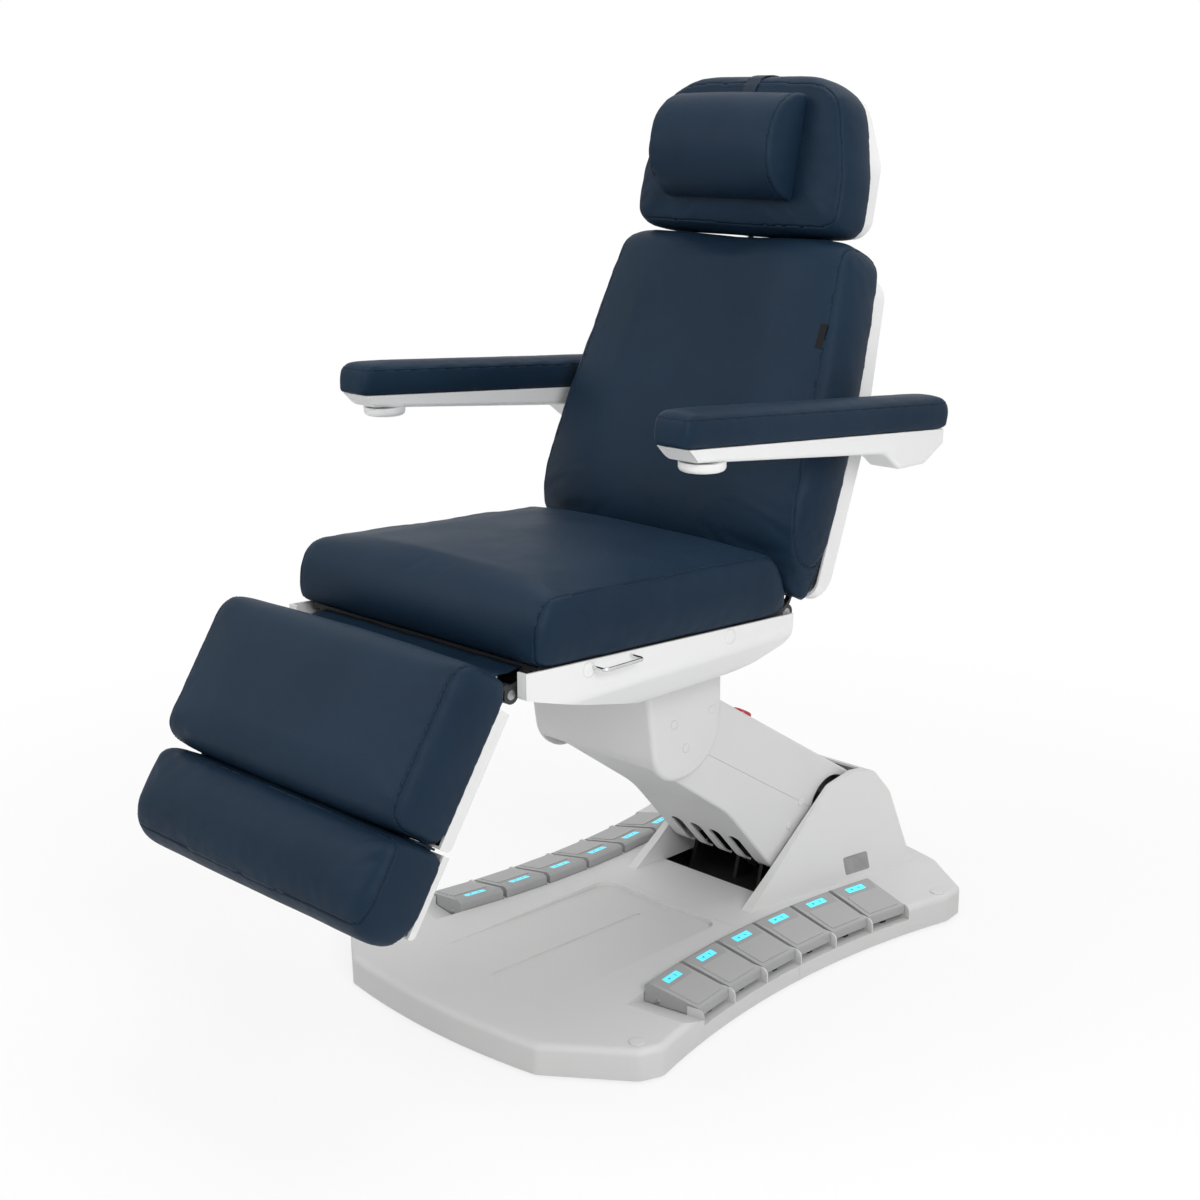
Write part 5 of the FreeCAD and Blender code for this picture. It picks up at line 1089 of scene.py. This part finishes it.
@dataclass
class ScrewCaps:
    """Round caps that close the screw holes in the covers, on both sides."""

    spots: Sequence[CapSpot] = (
        CapSpot((0.362, 0.602, 0.0597), (0, 0, 1), 0.0140, 0.0024, "base"),
        CapSpot((0.356, -0.257, 0.0597), (0, 0, 1), 0.0140, 0.0024, "base"),
        CapSpot((0.1547, 0.0506, 0.4919), (1, 0, 0), 0.0085, 0.0018, "seat"),
        CapSpot((0.1547, 0.0837, 0.4401), (1, 0, 0), 0.0085, 0.0018, "seat"),
        CapSpot((0.1547, 0.1540, 0.4962), (1, 0, 0), 0.0080, 0.0018, "seat"),
        CapSpot((0.2977, -0.3103, 0.7050), (1, 0, 0), 0.0130, 0.0014, "seat"),
        CapSpot((0.2977, 0.0316, 0.6890), (1, 0, 0), 0.0130, 0.0014, "seat"),
        CapSpot((0.1277, 0.4240, 0.1860), (1, 0, 0), 0.0085, 0.0016, "lift_arm"),
        CapSpot((0.1277, 0.4600, 0.2250), (1, 0, 0), 0.0085, 0.0016, "lift_arm"),
    )
    pan_level: float = 0.6

    def build(self, palette: Palette) -> None:
        """Make all caps, one piece for each spot and side.

        Args:
            palette: The finishes.
        """
        for side in Side:
            flip = Matrix.Diagonal((side.value, 1, 1, 1))
            for number, spot in enumerate(self.spots, 1):
                turn = Vector(spot.normal).to_track_quat("Z", "Y").to_matrix().to_4x4()
                bm = Piece.cap(spot.radius, spot.height, flip @ Matrix.Translation(spot.point) @ turn)
                on_pan = spot.point[2] > self.pan_level
                Piece.from_bmesh(bm, f"screw_cap_{side.word}_{number}",
                                 palette.white if on_pan else palette.cover, spot.body,
                                 "white_shell" if on_pan else "grey_cover")


@dataclass
class BellyShadePlate:
    """Dark plate that closes the base below the lift's well; its dark colour is painted shade for the shaded
    well.
    """

    middle: Point = (0.0, 0.435, 0.0052)
    size: Point = (0.64, 0.45, 0.0014)
    corner: float = 0.05

    def build(self, palette: Palette) -> None:
        """Make the plate.

        Args:
            palette: The finishes.
        """
        # Painted shade: a dark sheet under the well, where shade falls.
        bm = Piece.slab(self.size, Matrix.Translation(self.middle), self.corner)
        Piece.from_bmesh(bm, "belly_shade_plate", palette.frame_paint, "base", "steel_frame", False)


@dataclass
class BadgePlate:
    """Bare grey plate on the flank of the left yoke cheek."""

    point: Point = (0.2006, 0.5528, 0.0883)
    normal: Point = (0.93997, -0.16060, 0.30111)
    along: Point = (0.17, 0.985, 0.0)
    size: Point = (0.064, 0.035, 0.0012)
    corner: float = 0.004
    rim: float = 0.0016
    dip: float = 0.0004
    sunk: float = 0.0002

    def build(self, palette: Palette) -> None:
        """Make the plate and its raised rim.

        Args:
            palette: The finishes.
        """
        away = Vector(self.normal).normalized()
        along = (Vector(self.along) - away * away.dot(Vector(self.along))).normalized()
        place = axes_at(Vector(self.point) - away * self.sunk, along, away.cross(along), away)
        bm = Piece.slab(self.size, place, self.corner)
        bm.normal_update()
        top = max(bm.faces, key=lambda f: f.normal.dot(away) * f.calc_area())
        bmesh.ops.inset_region(bm, faces=[top], thickness=self.rim)
        bmesh.ops.translate(bm, verts=top.verts, vec=away * -self.dip)
        Piece.from_bmesh(bm, "badge_plate", palette.plate, "base", "hub_aluminium", False)


@dataclass
class HeadStrap:
    """Webbing strap that holds the pillow, laid over the top of the head rest."""

    width: float = 0.032
    thickness: float = 0.0016
    gap: float = 0.0012
    centre: tuple[float, float] = (0.175, 0.028)
    sweep: tuple[float, float] = (34.0, 158.0)
    steps: int = 30
    lanes: int = 4
    outside: float = 0.5

    def build(self, palette: Palette) -> None:
        """Lay the strap over the head rest.

        Args:
            palette: The finishes.
        """
        along, out = slope(Upholstery.head_rise)
        middle = Vector(Upholstery.head_base) + along * self.centre[0] + out * self.centre[1]
        under = [bpy.data.objects["head_cushion_cover"], frame["nodes"]["head_shell"]]
        spots = []
        for step in range(self.steps + 1):
            angle = math.radians(self.sweep[0] + (self.sweep[1] - self.sweep[0]) * step / self.steps)
            aim = along * math.sin(angle) + out * math.cos(angle)
            start = middle + aim * self.outside
            hits = [hit[0] for hit in (Piece.cast(obj, start, -aim) for obj in under) if hit]
            if hits:
                spots.append(max(hits, key=lambda p: (p - middle).length) + aim * self.gap)
        bm = bmesh.new()
        line = [bm.verts.new(spot - Vector((self.width / 2, 0, 0))) for spot in spots]
        Piece.sweep(bm, line, self.lanes, self.width)
        bmesh.ops.recalc_face_normals(bm, faces=bm.faces)
        if sum(f.normal.dot(f.calc_center_median() - middle) for f in bm.faces) < 0:
            bmesh.ops.reverse_faces(bm, faces=bm.faces)
        bmesh.ops.solidify(bm, geom=bm.faces[:], thickness=-self.thickness)
        strap = Piece.from_bmesh(bm, "head_strap", palette.thread, "head_rest", "upholstery")
        length = sum((b - a).length for a, b in zip(spots, spots[1:]))


@dataclass
class BackTag:
    """Bare woven tag beside the left seam of the back."""

    side: float = 0.268
    along: float = 0.478
    outside: float = 0.4
    size: Point = (0.013, 0.044, 0.0011)
    corner: float = 0.0008

    def build(self, palette: Palette) -> None:
        """Sew the tag onto the cover.

        Args:
            palette: The finishes.
        """
        along, out = slope(Upholstery.back_lean)
        start = Vector((self.side, *Upholstery.back_hinge[1:])) + along * self.along + out * self.outside
        hit = Piece.cast(bpy.data.objects["back_cushion_cover"], start, -out)
        if not hit:
            return
        point, away = hit
        upward = (along - away * away.dot(along)).normalized()
        bm = Piece.slab(self.size, axes_at(point, -away.cross(upward), upward, away), self.corner)
        Piece.from_bmesh(bm, "back_tag", palette.tag, "back", "upholstery", False)


@dataclass(frozen=True)
class SoftBox:
    """One soft lamp: where it hangs, the point it faces, its edge in metres and its watts."""

    name: str
    place: Point
    aim: Point
    edge: float
    power: float

    def hang(self) -> None:
        """Add the lamp to the scene."""
        data = bpy.data.lights.new(self.name, "AREA")
        data.size = self.edge
        data.energy = self.power
        lamp = Piece.link(self.name, data)
        lamp.location = self.place
        lamp.rotation_euler = (Vector(self.place) - Vector(self.aim)).to_track_quat("Z", "Y").to_euler()


@dataclass
class Studio:
    """Camera, lights, floor and background."""

    lens: float = 56.19
    sensor: float = 36.0
    camera_place: Point = (2.2767, -2.3155, 1.5694)
    camera_back: Point = (0.67445, -0.69194, 0.25757)
    white: tuple[float, float, float, float] = (1.0, 1.0, 1.0, 1.0)
    ambient: float = 0.50
    floor_half: float = 14.0
    floor_tone: Colour = (0.9, 0.9, 0.9)
    floor_rough: float = 0.8
    floor_glow: float = 0.76
    floor_fade: tuple[float, float] = (0.8, 2.3)
    boxes: Sequence[SoftBox] = (
        SoftBox("key", (-1.6, -3.4, 3.4), (0, 0, 0.7), 2.0, 54.0),
        SoftBox("fill", (3.6, -1.6, 2.6), (0, 0, 0.6), 1.6, 80.0),
        SoftBox("top", (0.2, 0.9, 4.1), (0, 0, 0.5), 2.2, 42.0),
    )

    def build(self) -> None:
        """Set up the whole studio."""
        bpy.context.scene.view_settings.view_transform = "Standard"
        self._camera()
        self._world()
        self._floor()
        for box in self.boxes:
            box.hang()

    def _camera(self) -> None:
        """Camera before the chair's left front corner, a little above it."""
        data = bpy.data.cameras.new("camera")
        data.sensor_width = self.sensor
        data.lens = self.lens
        camera = Piece.link("camera", data)
        camera.location = self.camera_place
        camera.rotation_euler = Vector(self.camera_back).to_track_quat("Z", "Y").to_euler()
        bpy.context.scene.camera = camera

    def _world(self) -> None:
        """Even pale light that the camera, gloss and glass see as white."""
        world = bpy.data.worlds.new("studio")
        world.use_nodes = True
        nodes = Nodes(world.node_tree)
        seen = nodes.ray("Camera")
        for kind in ("Glossy", "Transmission"):
            seen = nodes.node("ShaderNodeMath", {"operation": "MAXIMUM"}, {0: seen, 1: nodes.ray(kind)})
        strength = nodes.node("ShaderNodeMapRange", None, {"Value": seen, "To Min": self.ambient})
        light = nodes.node("ShaderNodeBackground", None, {"Color": self.white, "Strength": strength})
        out = nodes.tree.nodes.new("ShaderNodeOutputWorld")
        nodes.tree.links.new(light.socket, out.inputs["Surface"])
        bpy.context.scene.world = world

    def _floor(self) -> None:
        """Pale floor that keeps a soft shadow."""
        surface = Surface("studio_floor")
        surface.feed(Base_Color=self.floor_tone, Roughness=self.floor_rough)
        glow = surface.node("ShaderNodeEmission", None, {"Color": self.white, "Strength": 1.0})
        reach = surface.node("ShaderNodeVectorMath", {"operation": "LENGTH"}, {0: surface.place}, out="Value")
        far = surface.spread(reach, *self.floor_fade)
        share = surface.ray("Camera") * (self.floor_glow + far * (1.0 - self.floor_glow))
        mixed = surface.node("ShaderNodeMixShader", None,
                             {0: share, 1: Shade(surface, surface.shader.outputs[0]), 2: glow})
        surface.tree.links.new(mixed.socket, surface.output.inputs["Surface"])
        bm = bmesh.new()
        bmesh.ops.create_grid(bm, x_segments=1, y_segments=1, size=self.floor_half)
        mesh = bpy.data.meshes.new("floor")
        bm.to_mesh(mesh)
        bm.free()
        mesh.materials.append(surface.material)
        Piece.link("floor", mesh)


def main() -> None:
    """Build the chair's visible pieces and the studio."""
    logging.basicConfig(level=logging.INFO, format="%(message)s")
    palette = Palette()
    Upholstery().build(palette)
    HingeFlap().build(palette)
    FootLip().build(palette)
    PedalLabels().build(palette)
    ScrewCaps().build(palette)
    BellyShadePlate().build(palette)
    BadgePlate().build(palette)
    HeadStrap().build(palette)
    BackTag().build(palette)
    Studio().build()


if __name__ == "__main__":
    main()
